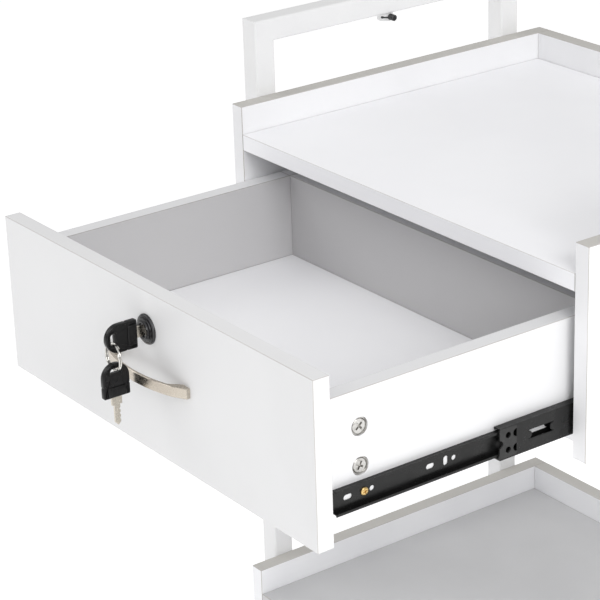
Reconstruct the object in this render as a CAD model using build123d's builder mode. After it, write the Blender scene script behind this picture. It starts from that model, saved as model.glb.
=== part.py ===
from build123d import *
from math import cos, radians, sin, sqrt
import os

# A two-level salon trolley table: a drawer cabinet with a rimmed top and an open lower tray,
# hung between two welded square-tube frames on casters. The drawer stands open, as it does
# when the table is in use. Millimetres. +Z up, the drawer faces -Y, X = 0 is the middle.

os.makedirs("parts", exist_ok=True)

# ---------------------------------------------------------------- driving dimensions
# boards
cabinet_width = 471.0
cabinet_depth = 370.0
cabinet_height = 182.0
board = 15.0
edge_break = 0.5
rim_height = 26.0
storage_height = 292.0
tray_underside = 100.0
bottom_setback = 20.0

# square-tube frames
tube = 21.0
tube_wall = 1.5
tube_corner = 2.0
front_upright_setback = 28.5
rear_upright_setback = 28.5
rail_gap = 49.0
caster_height = 68.0

# frame screws
frame_screw_radius = 2.5
frame_screw_head_radius = 5.0
frame_screw_head_height = 2.4
frame_screw_depth = 12.0
frame_screw_inset = 40.0
screw_clearance = 0.1
running_gap = 0.3
cut_through = 1.0

# drawer
drawer_opening = 248.0
drawer_closed_travel = drawer_opening
front_gap = 1.5
front_board = 15.0
drawer_box_length = 281.0
drawer_side_drop = 25.0
drawer_side_lift = 24.0
bottom_panel = 4.0
bottom_panel_lift = 11.0
groove_depth = 6.0
groove_clearance = 0.2

# cam locks that hold the drawer front
cam_radius = 7.5
cam_thickness = 11.5
cam_pocket_depth = 12.5
cam_setback = 32.0
cam_drop = 30.0
cam_pitch = 32.0
cam_clearance = 0.1
cam_cross_length = 7.0
cam_cross_width = 1.6
cam_cross_depth = 2.0
cam_bolt_radius = 3.0
cam_bolt_in_front = 10.0

# ball-bearing slides
slide_thickness = 10.0
slide_length = 250.0
sheet = 1.0
cabinet_member_height = 35.0
middle_member_height = 27.0
drawer_member_height = 19.0
slide_centre_lift = 33.0
slide_setback = 2.0
drawer_member_setback = 5.0
middle_member_reach = 73.0
middle_member_length = 247.0
cabinet_member_depth = 7.0
middle_member_offset = 2.2
middle_member_depth = 9.0
drawer_member_inset = 4.2
lip = 1.1
ball_radius = 1.2
outer_ball_offset = 4.0
inner_ball_offset = 6.6
cage_sheet = 0.8
cage_width = 3.2
ball_hole_clearance = 0.3
ball_pitch = 12.0
balls_per_row = 5
outer_cage_start = 40.0
inner_cage_start = -50.0
retainer_length = 17.0
retainer_thickness = 1.4
retainer_hole_radius = 2.6
window_length = 26.0
window_height = 8.0
window_setback = 42.0
cabinet_screw_place = 30.0
cabinet_screw_setback = 50.0
front_slot_place = 14.0
front_screw_place = 29.0
front_hole_place = 36.5
middle_slot_place = 92.0
upright_slot_place = 107.0
middle_hole_place = 115.0
rear_screw_setback = 25.0
slot_long = 8.0
slot_short = 4.5
wood_screw_radius = 1.7
wood_screw_length = 11.0
wood_screw_head_radius = 3.4
wood_screw_head_height = 1.6
thin_head_height = 0.7

# bow handle
handle_half_length = 57.5
handle_height = 9.0
handle_projection = 16.5
handle_strip = 2.6
handle_bend = 45.0
handle_bend_depth = 9.5
handle_end = 3.0
handle_foot = 9.5
handle_foot_slope = 9.5
handle_edge = 0.4
handle_screw_spacing = 104.0
handle_screw_radius = 2.0
handle_screw_bite = 3.0
handle_drop = 67.5

# lock
lock_drop = 32.3
barrel_radius = 9.4
escutcheon_radius = 12.7
escutcheon_thickness = 2.2
escutcheon_bevel = 1.2
collar_radius = 10.2
collar_height = 3.4
ring_radius = 8.0
ring_edge = 0.8
lock_ring_height = 5.0
barrel_behind_front = 9.0
plug_radius = 5.5
plug_clearance = 0.05
plug_recess = 2.0
keyway_clearance = 0.2
lock_nut_radius = 14.0
lock_nut_thickness = 5.0
tongue_rise = 5.5
tongue_width = 12.0
tongue_thickness = 2.5
tongue_slot_margin = 1.0
rivet_radius = 2.0
rivet_head_radius = 3.8
rivet_head_height = 1.6

# keys
key_head_length = 28.5
key_head_width = 24.0
key_head_thickness = 4.0
key_band_length = 9.0
key_band_thickness = 6.0
key_standoff = 10.3
key_corner = 1.5
key_slot_position = 21.5
key_slot_length = 10.0
key_slot_width = 4.5
key_blade_thickness = 1.9
key_shoulder_width = 9.0
key_shoulder_length = 7.0
key_blade_width = 5.0
key_blade_length = 17.6
key_tang_length = 8.0
bitting_depth = 1.0
bitting_width = 2.4
bitting_pitch = 4.0
ring_mean_radius = 10.8
ring_wire_radius = 0.8
ring_play = 0.3

# lamp socket in the left top rail
socket_bore_radius = 6.1
socket_wall = 1.4
socket_below_rail = 8.0
clamp_drop = 4.0
clamp_stem_radius = 2.0
clamp_hub_radius = 3.0
clamp_hub_length = 7.2
clamp_lever_setback = 2.0
clamp_lever_radius = 1.2
clamp_lever_length = 15.0
clamp_lever_tilt = 12.0

# casters
wheel_radius = 25.0
wheel_width = 18.0
wheel_edge = 4.0
wheel_hub_radius = 9.0
wheel_dish = 2.5
wheel_trail = 20.0
axle_radius = 3.0
axle_clearance = 0.05
axle_head_radius = 5.0
axle_head_height = 1.5
fork_sheet = 2.0
fork_gap = 1.5
fork_drop = 8.0
fork_bridge = 3.0
fork_half_length = 14.0
fork_boss_radius = 9.0
race_radius = 13.0
race_height = 4.6
stem_radius = 4.0
stem_clearance = 0.05
stem_into_tube = 15.0
stem_flange_radius = 14.0
stem_flange_height = 3.0
stem_head_radius = 6.5
stem_head_height = 2.5

# ---------------------------------------------------------------- derived places
half_width = cabinet_width / 2
inner_half_width = half_width - board
outer_half_width = half_width + tube
tube_centre_x = half_width + tube / 2

# the origin lies under the middle of the whole table, open drawer and keys included
key_reach = key_standoff + key_slot_position + key_head_width / 2
front_most = -drawer_opening - key_reach
back_most = cabinet_depth - rear_upright_setback - tube / 2 + wheel_trail + wheel_radius
cabinet_front = -(front_most + back_most) / 2
cabinet_back_y = cabinet_front + cabinet_depth

tray_floor_top = tray_underside + board
tray_rim_top = tray_floor_top + rim_height
cabinet_bottom_z = tray_rim_top + storage_height
cabinet_top_z = cabinet_bottom_z + cabinet_height
shelf_top = cabinet_top_z - rim_height
shelf_underside = shelf_top - board
rail_bottom = cabinet_top_z + rail_gap
frame_top = rail_bottom + tube
frame_bottom = caster_height
fork_top = frame_bottom - fork_drop

front_upright = cabinet_front + front_upright_setback
rear_upright_back = cabinet_back_y - rear_upright_setback
upright_centres = (front_upright + tube / 2, rear_upright_back - tube / 2)
rail_middle = (front_upright + rear_upright_back) / 2
socket_outer_radius = socket_bore_radius + socket_wall

drawer_face = cabinet_front - drawer_opening
front_back_face = drawer_face + front_board
front_half_width = inner_half_width - front_gap
front_top = shelf_underside - front_gap
drawer_back_face = front_back_face + drawer_box_length
box_half_width = inner_half_width - slide_thickness
box_inner_half_width = box_half_width - board
drawer_side_top = shelf_underside - drawer_side_drop
drawer_side_bottom = cabinet_bottom_z + drawer_side_lift
panel_bottom = drawer_side_bottom + bottom_panel_lift
panel_top = panel_bottom + bottom_panel
slide_z = cabinet_bottom_z + slide_centre_lift

slide_start = cabinet_front + front_board + slide_setback
drawer_member_start = front_back_face + drawer_member_setback
drawer_member_end = drawer_member_start + slide_length
middle_start = cabinet_front - middle_member_reach
middle_end = middle_start + middle_member_length
web_start = middle_start + retainer_length
window_y = middle_start + window_setback

lock_z = front_top - lock_drop
barrel_end = front_back_face + barrel_behind_front
plug_end = barrel_end + running_gap
tongue_reach = shelf_underside - lock_z + tongue_rise
handle_z = front_top - handle_drop

sides = (("left", -1), ("right", 1))


# ---------------------------------------------------------------- shared shapes
def block(x_span, y_span, z_span, mode=Mode.ADD):
    """A square block between pairs of limits, added to the part being built."""
    middle = [(span[0] + span[1]) / 2 for span in (x_span, y_span, z_span)]
    size = [abs(span[1] - span[0]) for span in (x_span, y_span, z_span)]
    with Locations(tuple(middle)):
        Box(*size, mode=mode)


def rod(start, direction, length, radius, mode=Mode.ADD):
    """A round bar or hole from a start point along a direction."""
    with Locations(Plane(origin=start, z_dir=direction)):
        Cylinder(radius, length, align=(Align.CENTER, Align.CENTER, Align.MIN), mode=mode)


def finish(builder, name):
    """Label a finished piece and write it to its own file."""
    builder.part.label = name
    export_step(builder.part, f"parts/{name}.step")


def mirrored(side_sign, depth_a, depth_b):
    """X limits of something between two depths measured inward from a cabinet side."""
    return (side_sign * (inner_half_width - depth_a), side_sign * (inner_half_width - depth_b))


# ---------------------------------------------------------------- tube frames
frame_screw_heights = (
    tray_underside + (board + rim_height) / 2,
    cabinet_bottom_z + frame_screw_inset,
    cabinet_top_z - frame_screw_inset,
)
top_front = Plane(origin=(0, front_upright, frame_top), z_dir=(0, 1, 1))
top_rear = Plane(origin=(0, rear_upright_back, frame_top), z_dir=(0, -1, 1))
bottom_front = Plane(origin=(0, front_upright, frame_bottom), z_dir=(0, 1, -1))
bottom_rear = Plane(origin=(0, rear_upright_back, frame_bottom), z_dir=(0, -1, -1))
tube_inside = tube - 2 * tube_wall

for side, sign in sides:
    tube_x = sign * tube_centre_x
    uprights = (
        ("front", upright_centres[0], (top_front, bottom_front)),
        ("rear", upright_centres[1], (top_rear, bottom_rear)),
    )
    for end, centre_y, mitres in uprights:
        with BuildPart() as upright:
            with BuildSketch(Plane(origin=(tube_x, centre_y, frame_bottom))):
                RectangleRounded(tube, tube, tube_corner)
                Rectangle(tube_inside, tube_inside, mode=Mode.SUBTRACT)
            extrude(amount=frame_top - frame_bottom)
            for mitre in mitres:
                split(bisect_by=mitre, keep=Keep.BOTTOM)
            for height in frame_screw_heights:
                rod((tube_x - tube, centre_y, height), (1, 0, 0), 2 * tube,
                    frame_screw_radius + screw_clearance, Mode.SUBTRACT)
        finish(upright, f"{side}_{end}_upright")

    rails = (
        ("top", frame_top - tube / 2, (top_front, top_rear)),
        ("bottom", frame_bottom + tube / 2, (bottom_front, bottom_rear)),
    )
    for level, centre_z, mitres in rails:
        with BuildPart() as rail:
            with BuildSketch(Plane(origin=(tube_x, rear_upright_back, centre_z), z_dir=(0, -1, 0))):
                RectangleRounded(tube, tube, tube_corner)
                Rectangle(tube_inside, tube_inside, mode=Mode.SUBTRACT)
            extrude(amount=rear_upright_back - front_upright)
            for mitre in mitres:
                split(bisect_by=mitre, keep=Keep.TOP)
            if level == "bottom":
                for centre_y in upright_centres:
                    rod((tube_x, centre_y, frame_bottom - tube), (0, 0, 1), tube + tube_wall * 2,
                        stem_radius + screw_clearance, Mode.SUBTRACT)
            if level == "top" and side == "left":
                rod((tube_x, rail_middle, rail_bottom - tube), (0, 0, 1), 3 * tube,
                    socket_outer_radius, Mode.SUBTRACT)
        finish(rail, f"{side}_{level}_rail")

# ---------------------------------------------------------------- cabinet boards
cabinet_screw_places = (slide_start + cabinet_screw_place,
                        slide_start + slide_length - cabinet_screw_setback)

for side, sign in sides:
    with BuildPart() as cabinet_side:
        block((sign * inner_half_width, sign * half_width), (cabinet_front, cabinet_back_y),
              (cabinet_bottom_z, cabinet_top_z))
        chamfer(cabinet_side.edges(), length=edge_break)
        for centre_y in upright_centres:
            for height in frame_screw_heights[1:]:
                rod((sign * half_width, centre_y, height), (-sign, 0, 0), frame_screw_depth,
                    frame_screw_radius + screw_clearance, Mode.SUBTRACT)
        for place in cabinet_screw_places:
            rod((sign * inner_half_width, place, slide_z), (sign, 0, 0), wood_screw_length,
                wood_screw_radius + screw_clearance, Mode.SUBTRACT)
    finish(cabinet_side, f"cabinet_{side}_side")

inner_span = (-inner_half_width, inner_half_width)
rear_board_y = cabinet_back_y - board

with BuildPart() as cabinet_back:
    block(inner_span, (rear_board_y, cabinet_back_y), (cabinet_bottom_z, cabinet_top_z))
    chamfer(cabinet_back.edges(), length=edge_break)
finish(cabinet_back, "cabinet_back")

with BuildPart() as cabinet_bottom:
    block(inner_span, (cabinet_front + bottom_setback, rear_board_y),
          (cabinet_bottom_z, cabinet_bottom_z + board))
    chamfer(cabinet_bottom.edges(), length=edge_break)
finish(cabinet_bottom, "cabinet_bottom")

# the lock's tongue swings up into a slot in the shelf when the drawer is shut
closed_tongue_y = plug_end + drawer_closed_travel + tongue_thickness / 2
slot_half_depth = tongue_thickness / 2 + tongue_slot_margin
tongue_chord = sqrt(tongue_reach ** 2 - (shelf_underside - lock_z) ** 2)

with BuildPart() as top_shelf:
    block(inner_span, (cabinet_front, rear_board_y), (shelf_underside, shelf_top))
    chamfer(top_shelf.edges(), length=edge_break)
    block((-tongue_chord - tongue_slot_margin, tongue_width / 2 + tongue_slot_margin),
          (closed_tongue_y - slot_half_depth, closed_tongue_y + slot_half_depth),
          (shelf_underside, shelf_underside + tongue_rise + tongue_slot_margin), Mode.SUBTRACT)
finish(top_shelf, "top_shelf")

# ---------------------------------------------------------------- lower tray
with BuildPart() as tray_floor:
    block(inner_span, (cabinet_front, rear_board_y), (tray_underside, tray_floor_top))
    chamfer(tray_floor.edges(), length=edge_break)
finish(tray_floor, "tray_floor")

with BuildPart() as tray_back_rim:
    block(inner_span, (rear_board_y, cabinet_back_y), (tray_underside, tray_rim_top))
    chamfer(tray_back_rim.edges(), length=edge_break)
finish(tray_back_rim, "tray_back_rim")

for side, sign in sides:
    with BuildPart() as tray_rim:
        block((sign * inner_half_width, sign * half_width), (cabinet_front, cabinet_back_y),
              (tray_underside, tray_rim_top))
        chamfer(tray_rim.edges(), length=edge_break)
        for centre_y in upright_centres:
            rod((sign * half_width, centre_y, frame_screw_heights[0]), (-sign, 0, 0),
                frame_screw_depth, frame_screw_radius + screw_clearance, Mode.SUBTRACT)
    finish(tray_rim, f"tray_{side}_rim")

with BuildPart() as frame_screws:
    for side, sign in sides:
        for centre_y in upright_centres:
            for height in frame_screw_heights:
                face = (sign * outer_half_width, centre_y, height)
                rod(face, (-sign, 0, 0), tube + frame_screw_depth, frame_screw_radius)
                rod(face, (sign, 0, 0), frame_screw_head_height, frame_screw_head_radius)
finish(frame_screws, "frame_screws")

# ---------------------------------------------------------------- lamp socket
socket_x = -tube_centre_x
clamp_z = rail_bottom - clamp_drop
clamp_axis_point = (socket_x, rail_middle, clamp_z)

with BuildPart() as lamp_socket:
    rod((socket_x, rail_middle, rail_bottom - socket_below_rail), (0, 0, 1),
        tube + socket_below_rail, socket_outer_radius)
    rod((socket_x, rail_middle, rail_bottom - 2 * socket_below_rail), (0, 0, 1),
        3 * tube, socket_bore_radius, Mode.SUBTRACT)
    rod(clamp_axis_point, (1, 0, 0), 2 * socket_outer_radius,
        clamp_stem_radius + plug_clearance, Mode.SUBTRACT)
finish(lamp_socket, "lamp_socket")

lever_direction = (0, -cos(radians(clamp_lever_tilt)), sin(radians(clamp_lever_tilt)))
clamp_tip_x = socket_x + socket_bore_radius + running_gap
clamp_hub_x = socket_x + socket_outer_radius + running_gap
clamp_end_x = clamp_hub_x + clamp_hub_length
with BuildPart() as lamp_clamp_screw:
    rod((clamp_tip_x, rail_middle, clamp_z), (1, 0, 0), clamp_end_x - clamp_tip_x,
        clamp_stem_radius)
    rod((clamp_hub_x, rail_middle, clamp_z), (1, 0, 0), clamp_hub_length, clamp_hub_radius)
    rod((clamp_end_x - clamp_lever_setback, rail_middle, clamp_z), lever_direction,
        clamp_lever_length, clamp_lever_radius)
finish(lamp_clamp_screw, "lamp_clamp_screw")

# ---------------------------------------------------------------- drawer boards
cam_heights = (drawer_side_top - cam_drop, drawer_side_top - cam_drop - cam_pitch)
cam_y = front_back_face + cam_setback
cam_bolt_end = cam_y - cam_radius - screw_clearance
side_middle_x = box_half_width - board / 2
handle_screw_x = handle_screw_spacing / 2
groove_z = (panel_bottom - groove_clearance, panel_top + groove_clearance)

with BuildPart() as drawer_front:
    block((-front_half_width, front_half_width), (drawer_face, front_back_face),
          (cabinet_bottom_z, front_top))
    chamfer(drawer_front.edges(), length=edge_break)
    through_start = drawer_face - cut_through
    through_length = front_board + 2 * cut_through
    rod((0, through_start, lock_z), (0, 1, 0), through_length, barrel_radius + screw_clearance,
        Mode.SUBTRACT)
    for screw_x in (-handle_screw_x, handle_screw_x):
        rod((screw_x, through_start, handle_z), (0, 1, 0), through_length,
            handle_screw_radius + screw_clearance, Mode.SUBTRACT)
    for sign in (-1, 1):
        for height in cam_heights:
            rod((sign * side_middle_x, front_back_face, height), (0, -1, 0), cam_bolt_in_front,
                cam_bolt_radius + screw_clearance, Mode.SUBTRACT)
    block((-box_inner_half_width, box_inner_half_width),
          (front_back_face - groove_depth, front_back_face), groove_z, Mode.SUBTRACT)
finish(drawer_front, "drawer_front")

drawer_screw_places = (drawer_member_start + front_screw_place,
                       drawer_member_end - rear_screw_setback)

for side, sign in sides:
    with BuildPart() as drawer_side:
        block((sign * box_inner_half_width, sign * box_half_width),
              (front_back_face, drawer_back_face), (drawer_side_bottom, drawer_side_top))
        chamfer(drawer_side.edges(), length=edge_break)
        block((sign * (box_inner_half_width - cut_through),
               sign * (box_inner_half_width + groove_depth)),
              (front_back_face, drawer_back_face - board), groove_z, Mode.SUBTRACT)
        for height in cam_heights:
            rod((sign * box_half_width, cam_y, height), (-sign, 0, 0), cam_pocket_depth,
                cam_radius + cam_clearance, Mode.SUBTRACT)
            rod((sign * side_middle_x, front_back_face, height), (0, 1, 0), cam_setback,
                cam_bolt_radius + screw_clearance, Mode.SUBTRACT)
        for place in drawer_screw_places:
            rod((sign * box_half_width, place, slide_z), (-sign, 0, 0), wood_screw_length,
                wood_screw_radius + screw_clearance, Mode.SUBTRACT)
    finish(drawer_side, f"drawer_{side}_side")

drawer_back_front = drawer_back_face - board
with BuildPart() as drawer_back:
    block((-box_inner_half_width, box_inner_half_width), (drawer_back_front, drawer_back_face),
          (drawer_side_bottom, drawer_side_top))
    chamfer(drawer_back.edges(), length=edge_break)
    block((-box_inner_half_width - cut_through, box_inner_half_width + cut_through),
          (drawer_back_front - cut_through, drawer_back_front + groove_depth), groove_z,
          Mode.SUBTRACT)
finish(drawer_back, "drawer_back")

panel_tongue = groove_depth - groove_clearance
with BuildPart() as drawer_bottom:
    block((-box_inner_half_width - panel_tongue, box_inner_half_width + panel_tongue),
          (front_back_face, drawer_back_front), (panel_bottom, panel_top))
    block((-box_inner_half_width + groove_clearance, box_inner_half_width - groove_clearance),
          (front_back_face - panel_tongue, drawer_back_front + panel_tongue),
          (panel_bottom, panel_top))
finish(drawer_bottom, "drawer_bottom")

cam_face_depth = cam_pocket_depth - cam_thickness
with BuildPart() as drawer_cam_locks:
    for side, sign in sides:
        for height in cam_heights:
            floor_x = sign * (box_half_width - cam_pocket_depth)
            face_x = sign * (box_half_width - cam_face_depth)
            cross_x = (face_x - sign * cam_cross_depth, face_x + sign * cut_through)
            rod((floor_x, cam_y, height), (sign, 0, 0), cam_thickness, cam_radius)
            block(cross_x, (cam_y - cam_cross_length / 2, cam_y + cam_cross_length / 2),
                  (height - cam_cross_width / 2, height + cam_cross_width / 2), Mode.SUBTRACT)
            block(cross_x, (cam_y - cam_cross_width / 2, cam_y + cam_cross_width / 2),
                  (height - cam_cross_length / 2, height + cam_cross_length / 2), Mode.SUBTRACT)
finish(drawer_cam_locks, "drawer_cam_locks")

with BuildPart() as drawer_cam_bolts:
    for side, sign in sides:
        for height in cam_heights:
            rod((sign * side_middle_x, front_back_face - cam_bolt_in_front, height), (0, 1, 0),
                cam_bolt_end - front_back_face + cam_bolt_in_front, cam_bolt_radius)
finish(drawer_cam_bolts, "drawer_cam_bolts")

# ---------------------------------------------------------------- handle
bow_rise = handle_projection - handle_bend_depth
bow_radius = (handle_bend ** 2 + bow_rise ** 2) / (2 * bow_rise)
bow_centre_y = drawer_face - handle_projection + bow_radius
bow_back_y = drawer_face - handle_projection + handle_strip
foot_x = handle_half_length - handle_foot
foot_start_x = foot_x - handle_foot_slope
foot_start_y = bow_centre_y - sqrt((bow_radius - handle_strip) ** 2 - foot_start_x ** 2)
bend_y = drawer_face - handle_bend_depth
end_y = drawer_face - handle_end

with BuildPart() as handle:
    with BuildSketch(Plane.XY.offset(handle_z - handle_height / 2)):
        with BuildLine():
            ThreePointArc((-handle_bend, bend_y), (0, drawer_face - handle_projection),
                          (handle_bend, bend_y))
            Polyline((handle_bend, bend_y), (handle_half_length, end_y),
                     (handle_half_length, drawer_face), (foot_x, drawer_face),
                     (foot_start_x, foot_start_y))
            ThreePointArc((foot_start_x, foot_start_y), (0, bow_back_y),
                          (-foot_start_x, foot_start_y))
            Polyline((-foot_start_x, foot_start_y), (-foot_x, drawer_face),
                     (-handle_half_length, drawer_face), (-handle_half_length, end_y),
                     (-handle_bend, bend_y))
        make_face()
    extrude(amount=handle_height)
    level_faces = handle.faces().filter_by(Axis.Z)
    chamfer(level_faces.edges(), length=handle_edge)
    for screw_x in (-handle_screw_x, handle_screw_x):
        rod((screw_x, drawer_face, handle_z), (0, -1, 0), handle_screw_bite,
            handle_screw_radius + plug_clearance, Mode.SUBTRACT)
finish(handle, "handle")

with BuildPart() as handle_screws:
    for screw_x in (-handle_screw_x, handle_screw_x):
        rod((screw_x, drawer_face - handle_screw_bite, handle_z), (0, 1, 0),
            front_board + handle_screw_bite, handle_screw_radius)
        rod((screw_x, front_back_face, handle_z), (0, 1, 0), frame_screw_head_height,
            2 * handle_screw_radius)
finish(handle_screws, "handle_screws")

# ---------------------------------------------------------------- lock
plug_face = drawer_face - lock_ring_height + plug_recess
plug_hole_radius = plug_radius + plug_clearance
key_root_y = drawer_face - key_standoff
key_tip_y = key_root_y + key_shoulder_length + key_blade_length

with BuildPart() as lock_barrel:
    rod((0, drawer_face, lock_z), (0, 1, 0), barrel_end - drawer_face, barrel_radius)
    rod((0, drawer_face - cut_through, lock_z), (0, 1, 0),
        barrel_end - drawer_face + 2 * cut_through, plug_hole_radius, Mode.SUBTRACT)
finish(lock_barrel, "lock_barrel")

with BuildPart() as lock_nut:
    with BuildSketch(Plane(origin=(0, front_back_face, lock_z), z_dir=(0, 1, 0))):
        RegularPolygon(lock_nut_radius, 6)
        Circle(barrel_radius + plug_clearance, mode=Mode.SUBTRACT)
    extrude(amount=lock_nut_thickness)
finish(lock_nut, "lock_nut")

with BuildPart() as lock_escutcheon:
    rod((0, drawer_face, lock_z), (0, -1, 0), escutcheon_thickness, escutcheon_radius)
    chamfer(lock_escutcheon.edges().filter_by(GeomType.CIRCLE).sort_by(Axis.Y)[0],
            length=escutcheon_bevel)
    rod((0, drawer_face, lock_z), (0, -1, 0), collar_height, collar_radius)
    rod((0, drawer_face, lock_z), (0, -1, 0), lock_ring_height, ring_radius)
    fillet(lock_escutcheon.edges().filter_by(GeomType.CIRCLE).sort_by(Axis.Y)[0],
           radius=ring_edge)
    rod((0, drawer_face + cut_through, lock_z), (0, -1, 0), lock_ring_height + 2 * cut_through,
        plug_hole_radius, Mode.SUBTRACT)
finish(lock_escutcheon, "lock_escutcheon")

keyway_half_width = key_blade_thickness / 2 + keyway_clearance
keyway_half_height = key_blade_width / 2 + keyway_clearance
with BuildPart() as lock_plug:
    rod((0, plug_face, lock_z), (0, 1, 0), plug_end - plug_face, plug_radius)
    block((-keyway_half_width, keyway_half_width),
          (plug_face - cut_through, key_tip_y + running_gap),
          (lock_z - keyway_half_height, lock_z + keyway_half_height), Mode.SUBTRACT)
    rod((0, plug_end, lock_z), (0, 1, 0), tongue_thickness, rivet_radius)
    rod((0, plug_end + tongue_thickness, lock_z), (0, 1, 0), rivet_head_height,
        rivet_head_radius)
finish(lock_plug, "lock_plug")

# with the lock open the tongue lies level, pointing to -X, riveted on the end of the plug
with BuildPart() as lock_tongue:
    with BuildSketch(Plane(origin=(0, plug_end, lock_z), x_dir=(-1, 0, 0), z_dir=(0, 1, 0))):
        with Locations(((tongue_reach - tongue_width / 2) / 2, 0)):
            SlotOverall(tongue_reach + tongue_width / 2, tongue_width)
        Circle(rivet_radius + plug_clearance, mode=Mode.SUBTRACT)
    extrude(amount=tongue_thickness)
finish(lock_tongue, "lock_tongue")

# ---------------------------------------------------------------- keys and their ring
ring_y = key_root_y - key_slot_position
ring_top_z = lock_z - key_slot_length / 2 + ring_wire_radius + ring_play
ring_centre_z = ring_top_z - ring_mean_radius
ring_bottom_z = ring_centre_z - ring_mean_radius
spare_slot_z = ring_bottom_z + ring_wire_radius + ring_play - key_slot_width / 2
spare_root_z = spare_slot_z - key_slot_position

# in a key's own plane, X runs from the blade's root out to the end of the head
key_planes = (
    ("key", Plane(origin=(0, key_root_y, lock_z), x_dir=(0, -1, 0), z_dir=(-1, 0, 0))),
    ("spare_key", Plane(origin=(0, ring_y, spare_root_z), x_dir=(0, 0, 1), z_dir=(-1, 0, 0))),
)
head_half = key_head_width / 2
head_arc_start = key_head_length - head_half

for name, plane in key_planes:
    with BuildPart() as key_head:
        with BuildSketch(plane) as outline:
            with BuildLine():
                Line((0, -head_half), (head_arc_start, -head_half))
                ThreePointArc((head_arc_start, -head_half), (key_head_length, 0),
                              (head_arc_start, head_half))
                Line((head_arc_start, head_half), (0, head_half))
                Line((0, head_half), (0, -head_half))
            make_face()
            root_corners = outline.vertices().sort_by_distance(plane.origin)[:2]
            fillet(root_corners, radius=key_corner)
        extrude(amount=key_head_thickness / 2, both=True)
        with BuildSketch(plane):
            with Locations((key_band_length / 2, 0)):
                RectangleRounded(key_band_length, key_head_width, key_corner)
        extrude(amount=key_band_thickness / 2, both=True)
        with BuildSketch(plane):
            with Locations((key_slot_position, 0)):
                SlotOverall(key_slot_length, key_slot_width, rotation=90)
        extrude(amount=key_head_thickness, both=True, mode=Mode.SUBTRACT)
        with BuildSketch(plane):
            with Locations((key_tang_length / 2, 0)):
                Rectangle(key_tang_length, key_blade_width)
        extrude(amount=key_blade_thickness / 2, both=True, mode=Mode.SUBTRACT)
    finish(key_head, f"{name}_head")

    with BuildPart() as key_blade:
        with BuildSketch(plane):
            with Locations((key_tang_length / 2, 0)):
                Rectangle(key_tang_length, key_blade_width)
            with Locations((-key_shoulder_length / 2, 0)):
                Rectangle(key_shoulder_length, key_shoulder_width)
            blade_tip = -key_shoulder_length - key_blade_length
            with BuildLine():
                Polyline((-key_shoulder_length, -key_blade_width / 2),
                         (blade_tip + key_blade_width / 2, -key_blade_width / 2),
                         (blade_tip, 0),
                         (blade_tip + key_blade_width / 2, key_blade_width / 2),
                         (-key_shoulder_length, key_blade_width / 2),
                         close=True)
            make_face()
            for notch in range(3):
                notch_x = -key_shoulder_length - bitting_pitch * (notch + 1)
                with BuildLine():
                    Polyline((notch_x - bitting_width / 2, key_blade_width / 2 + 0.1),
                             (notch_x, key_blade_width / 2 - bitting_depth),
                             (notch_x + bitting_width / 2, key_blade_width / 2 + 0.1),
                             close=True)
                make_face(mode=Mode.SUBTRACT)
        extrude(amount=key_blade_thickness / 2, both=True)
    finish(key_blade, f"{name}_blade")

with BuildPart() as key_ring:
    with Locations((0, ring_y, ring_centre_z)):
        Torus(ring_mean_radius, ring_wire_radius, rotation=(90, 0, 0))
finish(key_ring, "key_ring")

# ---------------------------------------------------------------- drawer slides
cabinet_half = cabinet_member_height / 2
middle_half = middle_member_height / 2
drawer_half = drawer_member_height / 2


def channel(sign, back, mouth, half, lip_in, y_start, y_end):
    """A lipped channel along Y: its web at the back depth, its lips at the mouth depth."""
    step = 1 if mouth > back else -1
    web = back + step * sheet
    throat = mouth - step * sheet
    lip_outer = half if lip_in else half + lip
    lip_inner = half - sheet - lip if lip_in else half - sheet
    upper = [(back, half), (throat, half), (throat, lip_outer), (mouth, lip_outer),
             (mouth, lip_inner), (throat, lip_inner), (throat, half - sheet), (web, half - sheet)]
    if lip_in:
        upper = [(back, half), (mouth, half)] + upper[4:]
    else:
        upper = upper[:4] + [(mouth, half - sheet), (web, half - sheet)]
    outline = upper + [(depth, -height) for depth, height in reversed(upper)]
    points = [(sign * (inner_half_width - depth), slide_z + height) for depth, height in outline]
    with BuildSketch(Plane(origin=(0, y_end, 0), x_dir=(1, 0, 0), z_dir=(0, -1, 0))) as profile:
        with BuildLine():
            Polyline(*points, close=True)
        make_face()
    extrude(profile.sketch, amount=y_end - y_start)


def web_plane(sign, depth):
    """The plane of a slide's web: local X runs along +Y and local Y runs up."""
    return Plane(origin=(sign * (inner_half_width - depth), 0, slide_z), x_dir=(0, 1, 0),
                 z_dir=(1, 0, 0))


def pierce(sign, depth, centre_y, width, height):
    """Cut a round-ended slot through a slide's web."""
    with BuildSketch(web_plane(sign, depth)) as opening:
        with Locations((centre_y, 0)):
            if width > height:
                SlotOverall(width, height)
            elif height > width:
                SlotOverall(height, width, rotation=90)
            else:
                Circle(width / 2)
    extrude(opening.sketch, amount=2 * sheet, both=True, mode=Mode.SUBTRACT)


def window(sign, depth):
    """Cut the release window, whose ends curve inward, through a slide's web."""
    with BuildSketch(web_plane(sign, depth)) as opening:
        with Locations((window_y, 0)):
            Rectangle(window_length, window_height)
        with Locations((window_y - window_length / 2, 0), (window_y + window_length / 2, 0)):
            Circle(window_height / 2 - sheet / 2, mode=Mode.SUBTRACT)
    extrude(opening.sketch, amount=2 * sheet, both=True, mode=Mode.SUBTRACT)


slide_signs = (-1, 1)
drawer_web = slide_thickness - sheet / 2
middle_web = middle_member_offset + sheet / 2
screw_hole = 2 * (wood_screw_radius + screw_clearance)

with BuildPart() as slide_cabinet_members:
    for sign in slide_signs:
        channel(sign, 0, cabinet_member_depth, cabinet_half, True, slide_start,
                slide_start + slide_length)
        for place in cabinet_screw_places:
            pierce(sign, sheet / 2, place, screw_hole, screw_hole)
finish(slide_cabinet_members, "slide_cabinet_members")

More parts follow.
